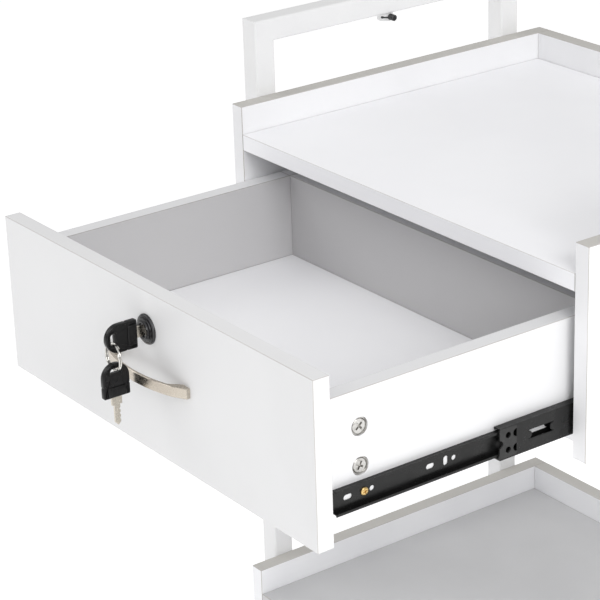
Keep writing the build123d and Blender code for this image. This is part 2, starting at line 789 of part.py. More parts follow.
with BuildPart() as slide_middle_members:
    for sign in slide_signs:
        channel(sign, middle_member_offset, middle_member_depth, middle_half, True,
                middle_start, middle_end)
        block(mirrored(sign, middle_member_offset - cut_through, middle_member_offset + sheet),
              (middle_start - cut_through, web_start),
              (slide_z - middle_half + sheet, slide_z + middle_half - sheet), Mode.SUBTRACT)
        window(sign, middle_web)
finish(slide_middle_members, "slide_middle_members")

drawer_member_openings = (
    (front_slot_place, slot_long, slot_short),
    (front_screw_place, screw_hole, screw_hole),
    (front_hole_place, slot_short, slot_short),
    (middle_slot_place, slot_long, slot_short),
    (upright_slot_place, slot_short, slot_long),
    (middle_hole_place, slot_short, slot_short),
    (slide_length - rear_screw_setback, screw_hole, screw_hole),
)
with BuildPart() as slide_drawer_members:
    for sign in slide_signs:
        channel(sign, slide_thickness, drawer_member_inset, drawer_half, False,
                drawer_member_start, drawer_member_end)
        for place, width, height in drawer_member_openings:
            pierce(sign, drawer_web, drawer_member_start + place, width, height)
        window(sign, drawer_web)
finish(slide_drawer_members, "slide_drawer_members")

retainer_half = middle_half - sheet
retainer_depth = middle_member_offset + retainer_thickness / 2
with BuildPart() as slide_retainers:
    for sign in slide_signs:
        with BuildSketch(web_plane(sign, retainer_depth)):
            with Locations((middle_start + retainer_length / 2, 0)):
                Rectangle(retainer_length, 2 * retainer_half)
            with Locations((middle_start, 0), (web_start, retainer_half / 2),
                           (web_start, -retainer_half / 2)):
                Circle(retainer_length / 5, mode=Mode.SUBTRACT)
            with Locations((middle_start + retainer_length / 2, retainer_half / 2),
                           (middle_start + retainer_length / 2, -retainer_half / 2)):
                Circle(retainer_hole_radius, mode=Mode.SUBTRACT)
        extrude(amount=retainer_thickness / 2, both=True)
finish(slide_retainers, "slide_retainers")

outer_row = (cabinet_half - sheet + middle_half) / 2
inner_row = (middle_half - sheet + drawer_half) / 2
cage_length = ball_pitch * balls_per_row
cages = (
    ("outer_ball_cages", outer_ball_offset, outer_row, cabinet_front + outer_cage_start),
    ("inner_ball_cages", inner_ball_offset, inner_row, cabinet_front + inner_cage_start),
)
for name, offset_in, row, start in cages:
    with BuildPart() as ball_cages:
        for sign in slide_signs:
            for height in (slide_z - row, slide_z + row):
                block(mirrored(sign, offset_in - cage_width / 2, offset_in + cage_width / 2),
                      (start, start + cage_length),
                      (height - cage_sheet / 2, height + cage_sheet / 2))
                for index in range(balls_per_row):
                    place = start + ball_pitch * (index + 0.5)
                    centre = (sign * (inner_half_width - offset_in), place, height)
                    rod((centre[0], centre[1], height - cage_sheet), (0, 0, 1), 2 * cage_sheet,
                        ball_radius + ball_hole_clearance, Mode.SUBTRACT)
                    with Locations(centre):
                        Sphere(ball_radius)
    finish(ball_cages, name)

with BuildPart() as cabinet_wood_screws:
    for sign in slide_signs:
        for place in cabinet_screw_places:
            seat = (sign * (inner_half_width - sheet), place, slide_z)
            rod(seat, (sign, 0, 0), wood_screw_length, wood_screw_radius)
            rod(seat, (-sign, 0, 0), thin_head_height, wood_screw_head_radius)
finish(cabinet_wood_screws, "cabinet_wood_screws")

with BuildPart() as drawer_wood_screws:
    for sign in slide_signs:
        for place in drawer_screw_places:
            seat = (sign * (box_half_width + sheet), place, slide_z)
            rod(seat, (-sign, 0, 0), wood_screw_length, wood_screw_radius)
            rod(seat, (sign, 0, 0), wood_screw_head_height, wood_screw_head_radius)
finish(drawer_wood_screws, "drawer_wood_screws")

# ---------------------------------------------------------------- casters
plate_inner = wheel_width / 2 + fork_gap
plate_outer = plate_inner + fork_sheet
plate_underside = fork_top - fork_bridge
corners = [(f"{end}_{side}", sign * tube_centre_x, centre_y)
           for end, centre_y in zip(("front", "rear"), upright_centres)
           for side, sign in sides]

with BuildPart() as caster_stems:
    for corner, centre_x, centre_y in corners:
        head_z = plate_underside - running_gap - stem_head_height
        rod((centre_x, centre_y, head_z), (0, 0, 1), frame_bottom + stem_into_tube - head_z,
            stem_radius)
        rod((centre_x, centre_y, head_z), (0, 0, 1), stem_head_height, stem_head_radius)
        rod((centre_x, centre_y, frame_bottom - stem_flange_height), (0, 0, 1),
            stem_flange_height, stem_flange_radius)
finish(caster_stems, "caster_stems")

for corner, centre_x, centre_y in corners:
    axle_y = centre_y + wheel_trail
    with BuildPart() as caster_fork:
        block((centre_x - plate_outer, centre_x + plate_outer),
              (centre_y - fork_half_length, centre_y + fork_half_length),
              (plate_underside, fork_top))
        rod((centre_x, centre_y, plate_underside), (0, 0, 1),
            fork_top - plate_underside + race_height, race_radius)
        with BuildSketch(Plane(origin=(centre_x, centre_y, 0), x_dir=(0, 1, 0), z_dir=(1, 0, 0))):
            with BuildLine():
                Polyline((-fork_half_length, fork_top), (fork_half_length, fork_top),
                         (wheel_trail + fork_boss_radius, wheel_radius),
                         (wheel_trail - fork_boss_radius, wheel_radius),
                         (-fork_half_length, plate_underside), close=True)
            make_face()
            with Locations((wheel_trail, wheel_radius)):
                Circle(fork_boss_radius)
        extrude(amount=plate_outer, both=True)
        block((centre_x - plate_inner, centre_x + plate_inner),
              (centre_y - 2 * fork_half_length, axle_y + wheel_radius),
              (0, plate_underside), Mode.SUBTRACT)
        rod((centre_x, centre_y, 0), (0, 0, 1), 2 * fork_top, stem_radius + stem_clearance,
            Mode.SUBTRACT)
        rod((centre_x - 2 * plate_outer, axle_y, wheel_radius), (1, 0, 0), 4 * plate_outer,
            axle_radius, Mode.SUBTRACT)
    finish(caster_fork, f"{corner}_caster_fork")

    with BuildPart() as caster_wheel:
        rod((centre_x - wheel_width / 2, axle_y, wheel_radius), (1, 0, 0), wheel_width,
            wheel_radius)
        fillet(caster_wheel.edges().filter_by(GeomType.CIRCLE), radius=wheel_edge)
        for sign in (-1, 1):
            face_x = centre_x + sign * wheel_width / 2
            with BuildSketch(Plane(origin=(face_x, axle_y, wheel_radius), z_dir=(-sign, 0, 0))):
                Circle(wheel_radius - 2 * wheel_edge)
                Circle(wheel_hub_radius, mode=Mode.SUBTRACT)
            extrude(amount=wheel_dish, mode=Mode.SUBTRACT)
        rod((centre_x - wheel_width, axle_y, wheel_radius), (1, 0, 0), 2 * wheel_width,
            axle_radius + axle_clearance, Mode.SUBTRACT)
    finish(caster_wheel, f"{corner}_caster_wheel")

    with BuildPart() as caster_axle:
        rod((centre_x - plate_outer, axle_y, wheel_radius), (1, 0, 0), 2 * plate_outer,
            axle_radius)
        for sign in (-1, 1):
            rod((centre_x + sign * plate_outer, axle_y, wheel_radius), (sign, 0, 0),
                axle_head_height, axle_head_radius)
    finish(caster_axle, f"{corner}_caster_axle")
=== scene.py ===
import logging
import math
from dataclasses import dataclass
from enum import Enum
from typing import Callable, Iterable, Sequence

import bmesh
import bpy
from mathutils import Matrix, Vector


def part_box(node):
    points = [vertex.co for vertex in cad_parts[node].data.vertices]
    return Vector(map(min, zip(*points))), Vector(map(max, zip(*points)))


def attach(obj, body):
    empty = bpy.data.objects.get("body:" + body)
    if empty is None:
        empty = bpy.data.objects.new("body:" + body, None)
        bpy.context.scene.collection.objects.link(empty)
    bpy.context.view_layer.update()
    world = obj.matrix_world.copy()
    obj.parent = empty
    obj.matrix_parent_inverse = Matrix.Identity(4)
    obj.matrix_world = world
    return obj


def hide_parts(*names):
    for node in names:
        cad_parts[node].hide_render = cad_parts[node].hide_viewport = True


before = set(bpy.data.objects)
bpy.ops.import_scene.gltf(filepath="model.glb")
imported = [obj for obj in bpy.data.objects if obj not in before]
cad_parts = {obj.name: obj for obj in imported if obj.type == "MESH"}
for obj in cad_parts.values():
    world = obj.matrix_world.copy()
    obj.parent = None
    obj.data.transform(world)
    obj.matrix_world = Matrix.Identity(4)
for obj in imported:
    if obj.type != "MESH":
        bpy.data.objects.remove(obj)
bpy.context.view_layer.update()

LOG = logging.getLogger("salon_table")
MM = 0.001
Colour = tuple[float, float, float]


# ------------------------------------------------------------------ shader groups
def new_group(name: str, inputs: Sequence[tuple[str, str, object]],
              outputs: Sequence[tuple[str, str]]) -> bpy.types.NodeTree:
    """An empty shader group with named sockets.

    Args:
        name: what the group is called.
        inputs: socket name, socket type and default for each input.
        outputs: socket name and socket type for each output.

    Returns:
        The group, holding its Group Input and Group Output nodes.
    """
    group = bpy.data.node_groups.new(name, "ShaderNodeTree")
    for label, kind, value in inputs:
        socket = group.interface.new_socket(name=label, in_out="INPUT", socket_type=kind)
        if value is not None:
            socket.default_value = value
    for label, kind in outputs:
        group.interface.new_socket(name=label, in_out="OUTPUT", socket_type=kind)
    group.nodes.new("NodeGroupInput").name = "In"
    group.nodes.new("NodeGroupOutput").name = "Out"
    return group


class Wiring:
    """Adds and joins nodes in one tree."""

    def __init__(self, tree: bpy.types.NodeTree) -> None:
        """Remember the tree that the nodes go into."""
        self.tree = tree

    def add(self, kind: str, sockets: dict[str | int, object] | None = None,
            **settings: object) -> bpy.types.Node:
        """A new node with its settings, constants and links.

        Args:
            kind: the node type.
            sockets: a constant or an output socket for each named input.
            settings: attributes of the node.

        Returns:
            The node.
        """
        node = self.tree.nodes.new(kind)
        for key, value in settings.items():
            setattr(node, key, value)
        for key, value in (sockets or {}).items():
            if isinstance(value, bpy.types.NodeSocket):
                self.tree.links.new(value, node.inputs[key])
            else:
                node.inputs[key].default_value = value
        return node

    def maths(self, operation: str, first: object, second: object = 0.0,
              third: object = 0.0) -> bpy.types.NodeSocket:
        """The result of one Math node.

        Args:
            operation: what the node does.
            first: the first value or socket.
            second: the second value or socket.
            third: the third value or socket.

        Returns:
            The node's output.
        """
        return self.add("ShaderNodeMath", {0: first, 1: second, 2: third},
                        operation=operation).outputs[0]

    def ramp(self, value: object, low: object, high: object, start: float = 0.0,
             end: float = 1.0) -> bpy.types.NodeSocket:
        """A smooth step of a value between two limits.

        Args:
            value: the value or socket that is followed.
            low: where the step begins.
            high: where it ends.
            start: what it gives below the step.
            end: what it gives above it.

        Returns:
            The node's output.
        """
        node = self.add("ShaderNodeMapRange", {"Value": value, "From Min": low, "From Max": high,
                                               "To Min": start, "To Max": end},
                        interpolation_type="SMOOTHSTEP")
        return node.outputs["Result"]

    def noise(self, vector: object, scale: object, detail: float = 3.0,
              roughness: float = 0.5) -> bpy.types.NodeSocket:
        """The factor of one Noise Texture.

        Args:
            vector: where the pattern is read.
            scale: how fine it is.
            detail: how many octaves it has.
            roughness: how strong the fine octaves are.

        Returns:
            The node's factor.
        """
        return self.add("ShaderNodeTexNoise", {"Vector": vector, "Scale": scale, "Detail": detail,
                                               "Roughness": roughness}).outputs["Fac"]


def edge_line_group() -> bpy.types.NodeTree:
    """A mask of the narrow broken edges, whose faces look along no axis.

    Returns:
        The group, with a Width input and a Mask output.
    """
    group = new_group("Broken edge", [("Width", "NodeSocketFloat", 0.12)],
                      [("Mask", "NodeSocketFloat")])
    w = Wiring(group)
    coords = w.add("ShaderNodeTexCoord")
    axes = w.add("ShaderNodeSeparateXYZ", {0: coords.outputs["Normal"]})
    sizes = [w.maths("ABSOLUTE", axes.outputs[i]) for i in range(3)]
    largest = w.maths("MAXIMUM", w.maths("MAXIMUM", sizes[0], sizes[1]), sizes[2])
    soft = w.maths("SUBTRACT", 0.96, group.nodes["In"].outputs["Width"])
    mask = w.ramp(largest, soft, 0.97, 1.0, 0.0)
    group.links.new(mask, group.nodes["Out"].inputs["Mask"])
    return group


def top_shade_mask_group() -> bpy.types.NodeTree:
    """A mask of faces that look up, above a height, used to paint shade on top edges.

    Returns:
        The group, with a Height input and a Mask output.
    """
    group = new_group("Upper faces", [("Height", "NodeSocketFloat", 0.0)],
                      [("Mask", "NodeSocketFloat")])
    w = Wiring(group)
    coords = w.add("ShaderNodeTexCoord")
    normal = w.add("ShaderNodeSeparateXYZ", {0: coords.outputs["Normal"]})
    place = w.add("ShaderNodeSeparateXYZ", {0: coords.outputs["Object"]})
    up = w.ramp(normal.outputs["Z"], 0.7, 0.95)
    high = w.maths("GREATER_THAN", place.outputs["Z"], group.nodes["In"].outputs["Height"])
    group.links.new(w.maths("MULTIPLY", up, high), group.nodes["Out"].inputs["Mask"])
    return group


def corner_shade_mask_group() -> bpy.types.NodeTree:
    """A mask of what lies within a margin of the inner faces of a box, used to paint shade into its
    inner corners.

    Returns:
        The group, with Low, High and Margin inputs and a Mask output.
    """
    group = new_group("Painted corner shade", [("Low", "NodeSocketVector", None),
                                      ("High", "NodeSocketVector", None),
                                      ("Margin", "NodeSocketFloat", 0.001)],
                      [("Mask", "NodeSocketFloat")])
    w = Wiring(group)
    place = w.add("ShaderNodeSeparateXYZ", {0: w.add("ShaderNodeTexCoord").outputs["Object"]})
    low = w.add("ShaderNodeSeparateXYZ", {0: group.nodes["In"].outputs["Low"]})
    high = w.add("ShaderNodeSeparateXYZ", {0: group.nodes["In"].outputs["High"]})
    nearest: object = 1.0
    for axis in range(3):
        above = w.maths("ABSOLUTE", w.maths("SUBTRACT", place.outputs[axis], low.outputs[axis]))
        below = w.maths("ABSOLUTE", w.maths("SUBTRACT", high.outputs[axis], place.outputs[axis]))
        nearest = w.maths("MINIMUM", nearest, w.maths("MINIMUM", above, below))
    mask = w.ramp(nearest, 0.0, group.nodes["In"].outputs["Margin"], 1.0, 0.0)
    group.links.new(mask, group.nodes["Out"].inputs["Mask"])
    return group


def fine_grain_group() -> bpy.types.NodeTree:
    """Two sizes of soft speckle: broad for colour and fine for height.

    Returns:
        The group, with Broad, Fine and Stretch inputs, and Cloud and Speckle outputs.
    """
    group = new_group("Fine grain", [("Broad", "NodeSocketFloat", 12.0),
                                     ("Fine", "NodeSocketFloat", 900.0),
                                     ("Stretch", "NodeSocketVector", (1.0, 1.0, 1.0))],
                      [("Cloud", "NodeSocketFloat"), ("Speckle", "NodeSocketFloat")])
    w = Wiring(group)
    place = w.add("ShaderNodeTexCoord").outputs["Object"]
    inputs = group.nodes["In"].outputs
    pulled = w.add("ShaderNodeVectorMath", {0: place, 1: inputs["Stretch"]}, operation="MULTIPLY")
    cloud = w.noise(pulled.outputs[0], inputs["Broad"], 4.0)
    speckle = w.noise(pulled.outputs[0], inputs["Fine"], 2.0, 0.6)
    group.links.new(cloud, group.nodes["Out"].inputs["Cloud"])
    group.links.new(speckle, group.nodes["Out"].inputs["Speckle"])
    return group


def dust_group() -> bpy.types.NodeTree:
    """A thin broken veil of dust on what faces up.

    Returns:
        The group, with an Amount input and a Mask output.
    """
    group = new_group("Settled dust", [("Amount", "NodeSocketFloat", 0.2)],
                      [("Mask", "NodeSocketFloat")])
    w = Wiring(group)
    coords = w.add("ShaderNodeTexCoord")
    up = w.ramp(w.add("ShaderNodeSeparateXYZ", {0: coords.outputs["Normal"]}).outputs["Z"],
                0.1, 1.0)
    specks = w.ramp(w.noise(coords.outputs["Object"], 420.0, 5.0, 0.7), 0.52, 0.75)
    mask = w.maths("MULTIPLY", w.maths("MULTIPLY", up, specks),
                   group.nodes["In"].outputs["Amount"])
    group.links.new(mask, group.nodes["Out"].inputs["Mask"])
    return group


class Shared(Enum):
    """The shader groups that the finishes share, by the function that builds each."""

    EDGE = "Broken edge"
    TOP_SHADE = "Upper faces"
    CORNER_SHADE = "Painted corner shade"
    GRAIN = "Fine grain"
    DUST = "Settled dust"


GROUP_MAKERS: dict[Shared, Callable[[], bpy.types.NodeTree]] = {
    Shared.EDGE: edge_line_group, Shared.TOP_SHADE: top_shade_mask_group, Shared.CORNER_SHADE: corner_shade_mask_group,
    Shared.GRAIN: fine_grain_group, Shared.DUST: dust_group}


# ------------------------------------------------------------------ finishes
class Recipe(Wiring):
    """One material around a Principled shader."""

    def __init__(self, name: str) -> None:
        """Start the material with a bare Principled shader."""
        self.material = bpy.data.materials.new(name)
        self.material.use_nodes = True
        super().__init__(self.material.node_tree)
        self.shader = self.tree.nodes["Principled BSDF"]

    def shared(self, which: Shared, **sockets: object) -> bpy.types.Node:
        """A node for one shared group, with its inputs set by name.

        Args:
            which: the group.
            sockets: a constant for each input, named in lower case.

        Returns:
            The node.
        """
        tree = bpy.data.node_groups.get(which.value) or GROUP_MAKERS[which]()
        node = self.add("ShaderNodeGroup", node_tree=tree)
        for key, value in sockets.items():
            node.inputs[key.replace("_", " ").capitalize()].default_value = value
        return node

    def mix(self, amount: object, first: object, second: object) -> bpy.types.NodeSocket:
        """A blend of two colours.

        Args:
            amount: how much of the second colour, as a number or a socket.
            first: the first colour or socket.
            second: the second colour or socket.

        Returns:
            The blended colour.
        """
        node = self.add("ShaderNodeMix", data_type="RGBA")
        for index, value in ((0, amount), (6, first), (7, second)):
            if isinstance(value, bpy.types.NodeSocket):
                self.tree.links.new(value, node.inputs[index])
            elif index == 0:
                node.inputs[index].default_value = value
            else:
                node.inputs[index].default_value = (*value, 1.0)
        return node.outputs[2]

    def dress(self, **sockets: object) -> None:
        """Set or link inputs of the shader.

        Args:
            sockets: a constant or an output socket for each input, named with underscores.
        """
        for key, value in sockets.items():
            socket = self.shader.inputs[" ".join(
                w if w in ("IOR",) else w.capitalize() for w in key.split("_"))]
            if isinstance(value, bpy.types.NodeSocket):
                self.tree.links.new(value, socket)
            elif isinstance(value, tuple):
                socket.default_value = (*value, 1.0)
            else:
                socket.default_value = value

    def bump(self, height: bpy.types.NodeSocket, distance: float, strength: float = 1.0) -> None:
        """Raise the surface.

        Args:
            height: the pattern that is raised.
            distance: its full height, in metres.
            strength: how much of that shows.
        """
        node = self.add("ShaderNodeBump", {"Height": height, "Distance": distance,
                                           "Strength": strength})
        self.tree.links.new(node.outputs["Normal"], self.shader.inputs["Normal"])


@dataclass(frozen=True)
class Laminate:
    """White melamine-faced board with a thin glue line at each edge of its banding and, where set,
    painted shade on its top edges and in its inner corners.
    """

    name: str
    face: Colour = (0.86, 0.862, 0.875)
    cloud: Colour = (0.825, 0.827, 0.845)
    line: Colour = (0.36, 0.33, 0.30)
    line_strength: float = 0.75
    # The top colour and height paint shade: faces that look up above that height take the darker
    # colour.
    top_shade_colour: Colour = (0.52, 0.505, 0.475)
    top_shade_height: float | None = None
    # The shade corner box and width paint shade along the inner corners of that box.
    shade_corner_low: Colour | None = None
    shade_corner_high: Colour | None = None
    shade_corner_width: float = 0.0012
    roughness: float = 0.42

    def material(self) -> bpy.types.Material:
        """Build the board's material."""
        r = Recipe(self.name)
        grain = r.shared(Shared.GRAIN, broad=9.0, fine=1500.0)
        clouds = r.ramp(grain.outputs["Cloud"], 0.35, 0.7)
        colour = r.mix(clouds, self.face, self.cloud)
        # Painted shade: faces that look up above the height are darkened to the top colour.
        if self.top_shade_height is not None:
            top_shade_mask = r.shared(Shared.TOP_SHADE, height=self.top_shade_height)
            colour = r.mix(top_shade_mask.outputs["Mask"], colour, self.top_shade_colour)
        edge = r.shared(Shared.EDGE, width=0.12)
        worn = r.ramp(grain.outputs["Cloud"], 0.2, 0.8, 0.7, 1.0)
        strength = r.maths("MULTIPLY", edge.outputs["Mask"],
                           r.maths("MULTIPLY", worn, self.line_strength))
        colour = r.mix(strength, colour, self.line)
        # Painted shade: a dark line along the box's inner corners, where shade falls in the joints.
        if self.shade_corner_low is not None and self.shade_corner_high is not None:
            corner = r.shared(Shared.CORNER_SHADE, low=self.shade_corner_low, high=self.shade_corner_high,
                              margin=self.shade_corner_width)
            corner_shade_amount = r.maths("MULTIPLY", corner.outputs["Mask"], 0.6)
            colour = r.mix(corner_shade_amount, colour, (0.22, 0.21, 0.21))
        rough = r.ramp(grain.outputs["Speckle"], 0.3, 0.7, self.roughness - 0.05,
                       self.roughness + 0.07)
        r.dress(Base_Color=colour, Roughness=rough, Specular_IOR_Level=0.42)
        r.bump(grain.outputs["Speckle"], 0.00003, 0.5)
        return r.material


@dataclass(frozen=True)
class PowderCoat:
    """Sprayed and baked paint with a faint orange-peel surface."""

    name: str
    face: Colour = (0.80, 0.80, 0.80)
    shade: Colour = (0.77, 0.77, 0.775)
    roughness: float = 0.34
    peel: float = 0.00005

    def material(self) -> bpy.types.Material:
        """Build the paint."""
        r = Recipe(self.name)
        grain = r.shared(Shared.GRAIN, broad=14.0, fine=650.0)
        dust = r.shared(Shared.DUST, amount=0.12)
        colour = r.mix(r.ramp(grain.outputs["Cloud"], 0.35, 0.7), self.face, self.shade)
        colour = r.mix(dust.outputs["Mask"], colour, (0.5, 0.49, 0.47))
        rough = r.ramp(grain.outputs["Cloud"], 0.3, 0.7, self.roughness - 0.04,
                       self.roughness + 0.06)
        r.dress(Base_Color=colour, Roughness=rough, Coat_Weight=0.15, Coat_Roughness=0.2)
        r.bump(grain.outputs["Speckle"], self.peel, 0.6)
        return r.material


@dataclass(frozen=True)
class DarkCoat:
    """Black coated or moulded surface with lighter edges, partly rubbed wear and partly a painted
    highlight, and a little dust.
    """

    name: str
    face: Colour = (0.012, 0.012, 0.013)
    rubbed_and_highlight: Colour = (0.11, 0.11, 0.115)
    roughness: float = 0.32
    edge: float = 0.5
    dust: float = 0.12
    grain_size: float = 900.0
    grain_depth: float = 0.00004
    metallic: float = 0.0
    coat: float = 0.0
    gloss: float = 0.4

    def material(self) -> bpy.types.Material:
        """Build the black finish."""
        r = Recipe(self.name)
        grain = r.shared(Shared.GRAIN, broad=60.0, fine=self.grain_size)
        edge = r.shared(Shared.EDGE, width=0.1)
        dust = r.shared(Shared.DUST, amount=self.dust)
        # Lighter broken edges: partly rubbed wear, partly a painted edge highlight.
        rub_and_highlight = r.maths("MULTIPLY", edge.outputs["Mask"],
                      r.ramp(grain.outputs["Cloud"], 0.4, 0.65, 0.2, self.edge))
        colour = r.mix(rub_and_highlight, self.face, self.rubbed_and_highlight)
        colour = r.mix(dust.outputs["Mask"], colour, (0.28, 0.27, 0.26))
        rough = r.ramp(grain.outputs["Cloud"], 0.3, 0.7, self.roughness - 0.08,
                       self.roughness + 0.1)
        r.dress(Base_Color=colour, Roughness=rough, Metallic=self.metallic,
                Specular_IOR_Level=self.gloss, Coat_Weight=self.coat, Coat_Roughness=0.12)
        r.bump(grain.outputs["Speckle"], self.grain_depth, 0.5)
        return r.material


@dataclass(frozen=True)
class BareMetal:
    """Plated or brushed metal with fine lines and stains."""

    name: str
    face: Colour
    stain: Colour
    roughness: float = 0.25
    stretch: Colour = (1.0, 1.0, 1.0)
    line_size: float = 1400.0
    line_depth: float = 0.00002
    stain_size: float = 90.0

    def material(self) -> bpy.types.Material:
        """Build the metal."""
        r = Recipe(self.name)
        grain = r.shared(Shared.GRAIN, broad=self.stain_size, fine=self.line_size,
                         stretch=self.stretch)
        colour = r.mix(r.ramp(grain.outputs["Cloud"], 0.42, 0.72), self.face, self.stain)
        rough = r.ramp(grain.outputs["Speckle"], 0.3, 0.7, self.roughness * 0.75,
                       self.roughness * 1.35)
        r.dress(Base_Color=colour, Roughness=rough, Metallic=1.0)
        r.bump(grain.outputs["Speckle"], self.line_depth, 0.5)
        return r.material


@dataclass(frozen=True)
class Rubber:
    """Moulded tyre rubber, matt, with road dust in its surface."""

    name: str
    face: Colour = (0.045, 0.045, 0.048)
    dusty: Colour = (0.16, 0.155, 0.145)

    def material(self) -> bpy.types.Material:
        """Build the rubber."""
        r = Recipe(self.name)
        grain = r.shared(Shared.GRAIN, broad=120.0, fine=1100.0)
        colour = r.mix(r.ramp(grain.outputs["Cloud"], 0.5, 0.75, 0.0, 0.6), self.face, self.dusty)
        rough = r.ramp(grain.outputs["Cloud"], 0.3, 0.7, 0.6, 0.85)
        r.dress(Base_Color=colour, Roughness=rough)
        r.bump(grain.outputs["Speckle"], 0.00008, 0.6)
        return r.material


# ------------------------------------------------------------------ mesh helpers
def place_on(origin: Sequence[float], towards: Sequence[float], spin: float = 0.0) -> Matrix:
    """A transform whose Z axis points along a direction.

    Args:
        origin: where the local origin goes, in metres.
        towards: the direction of the local Z axis.
        spin: a turn about that axis first, in radians.

    Returns:
        The transform.
    """
    turn = Vector((0, 0, 1)).rotation_difference(Vector(towards)).to_matrix().to_4x4()
    return Matrix.Translation(origin) @ turn @ Matrix.Rotation(spin, 4, "Z")


def into_object(bm: bmesh.types.BMesh, name: str, material: bpy.types.Material,
                places: Iterable[Matrix] = (Matrix(),), crease: float = 33.0) -> bpy.types.Object:
    """Finish a shape drawn in millimetres as an object in metres.

    Args:
        bm: the shape; it is freed.
        name: the object's name.
        material: its finish.
        places: one transform for each copy.
        crease: edges sharper than this many degrees stay sharp.

    Returns:
        The object, at the origin, with its places in its mesh.
    """
    bmesh.ops.remove_doubles(bm, verts=bm.verts, dist=1e-4)
    bmesh.ops.recalc_face_normals(bm, faces=bm.faces)
    for face in bm.faces:
        face.smooth = True
    for edge in bm.edges:
        if edge.calc_face_angle(0.0) > math.radians(crease):
            edge.smooth = False
    unit = bpy.data.meshes.new("unit")
    bm.to_mesh(unit)
    bm.free()
    whole = bmesh.new()
    for place in places:
        copy = unit.copy()
        copy.transform(place @ Matrix.Scale(MM, 4))
        whole.from_mesh(copy)
        bpy.data.meshes.remove(copy)
    mesh = bpy.data.meshes.new(name)
    whole.to_mesh(mesh)
    whole.free()
    bpy.data.meshes.remove(unit)
    mesh.materials.append(material)
    piece = bpy.data.objects.new(name, mesh)
    bpy.context.scene.collection.objects.link(piece)
    return piece


def spun(profile: Sequence[tuple[float, float]], steps: int = 48,
         closed: bool = False) -> bmesh.types.BMesh:
    """Turn a profile of radius and height about Z.

    Args:
        profile: (radius, height) pairs in millimetres.
        steps: how many steps the turn has.
        closed: whether the last point joins the first, as round a ring.

    Returns:
        The turned shape.
    """
    bm = bmesh.new()
    verts = [bm.verts.new((radius, 0.0, height)) for radius, height in profile]
    edges = [bm.edges.new(pair) for pair in zip(verts, verts[1:])]
    if closed:
        edges.append(bm.edges.new((verts[-1], verts[0])))
    bmesh.ops.spin(bm, geom=verts + edges, cent=(0, 0, 0), axis=(0, 0, 1),
                   angle=math.tau, steps=steps, use_merge=True)
    return bm


def driven_head(radius: float, cross: tuple[float, float, float],
                rings: Sequence[tuple[float, float, float]], tip: float) -> bmesh.types.BMesh:
    """A round head with a cross recess, its rim drawn out ring by ring and closed below.

    Args:
        radius: the flat face's radius.
        cross: the recess's length, width and depth.
        rings: radius, height and sideways shift of each ring from the flat face on.
        tip: how far below the last ring the shape closes in a point.

    Returns:
        The shape, its face at height 0, looking along +Z.
    """
    length, width, depth = cross
    bm = bmesh.new()
    bmesh.ops.create_circle(bm, cap_ends=True, radius=radius, segments=36)
    for normal in ((1, 0, 0), (0, 1, 0)):
        for offset in (-length / 2, -width / 2, width / 2, length / 2):
            geom = bm.verts[:] + bm.edges[:] + bm.faces[:]
            bmesh.ops.bisect_plane(bm, geom=geom, dist=1e-4, plane_no=normal,
                                   plane_co=Vector(normal) * offset)
    rim = [edge for edge in bm.edges if edge.is_boundary]
    floor = []
    for face in bm.faces:
        across = sorted((abs(face.calc_center_median().x), abs(face.calc_center_median().y)))
        if across[0] < width / 2 and across[1] < length / 2:
            floor.append(face)
    sunk = bmesh.ops.extrude_face_region(bm, geom=floor)["geom"]
    bmesh.ops.delete(bm, geom=floor, context="FACES_ONLY")
    low = [item for item in sunk if isinstance(item, bmesh.types.BMVert)]
    bmesh.ops.translate(bm, verts=low, vec=(0, 0, -depth))
    bmesh.ops.scale(bm, verts=low, vec=(0.8, 0.8, 1.0))
    now, moved = radius, 0.0
    for ring_radius, height, shift in rings:
        drawn = bmesh.ops.extrude_edge_only(bm, edges=rim)["geom"]
        verts = [item for item in drawn if isinstance(item, bmesh.types.BMVert)]
        rim = [item for item in drawn if isinstance(item, bmesh.types.BMEdge)]
        factor = ring_radius / now
        bmesh.ops.translate(bm, verts=verts, vec=(-moved, -moved, 0))
        bmesh.ops.scale(bm, verts=verts, vec=(factor, factor, 1))
        for vert in verts:
            vert.co.z = height
        bmesh.ops.translate(bm, verts=verts, vec=(shift, shift, 0))
        now, moved = ring_radius, shift
    drawn = bmesh.ops.extrude_edge_only(bm, edges=rim)["geom"]
    verts = [item for item in drawn if isinstance(item, bmesh.types.BMVert)]
    bmesh.ops.pointmerge(bm, verts=verts, merge_co=(moved, moved, verts[0].co.z - tip))
    return bm


def sharp_edges(bm: bmesh.types.BMesh, degrees: float) -> list[bmesh.types.BMEdge]:
    """The edges of a shape that turn by more than an angle.

    Args:
        bm: the shape; its normals are recalculated.
        degrees: the angle.

    Returns:
        Those edges.
    """
    bmesh.ops.recalc_face_normals(bm, faces=bm.faces)
    return [edge for edge in bm.edges if edge.calc_face_angle(0.0) > math.radians(degrees)]


def round_over(bm: bmesh.types.BMesh, edges: Sequence[bmesh.types.BMEdge], radius: float,
               segments: int = 3) -> None:
    """Round edges over.

    Args:
        bm: the shape.
        edges: its edges that are rounded.
        radius: by how much, in millimetres.
        segments: how many steps the rounding has.
    """
    bmesh.ops.bevel(bm, geom=list(edges), offset=radius, offset_type="OFFSET",
                    segments=segments, profile=0.5, affect="EDGES", clamp_overlap=True,
                    material=-1)


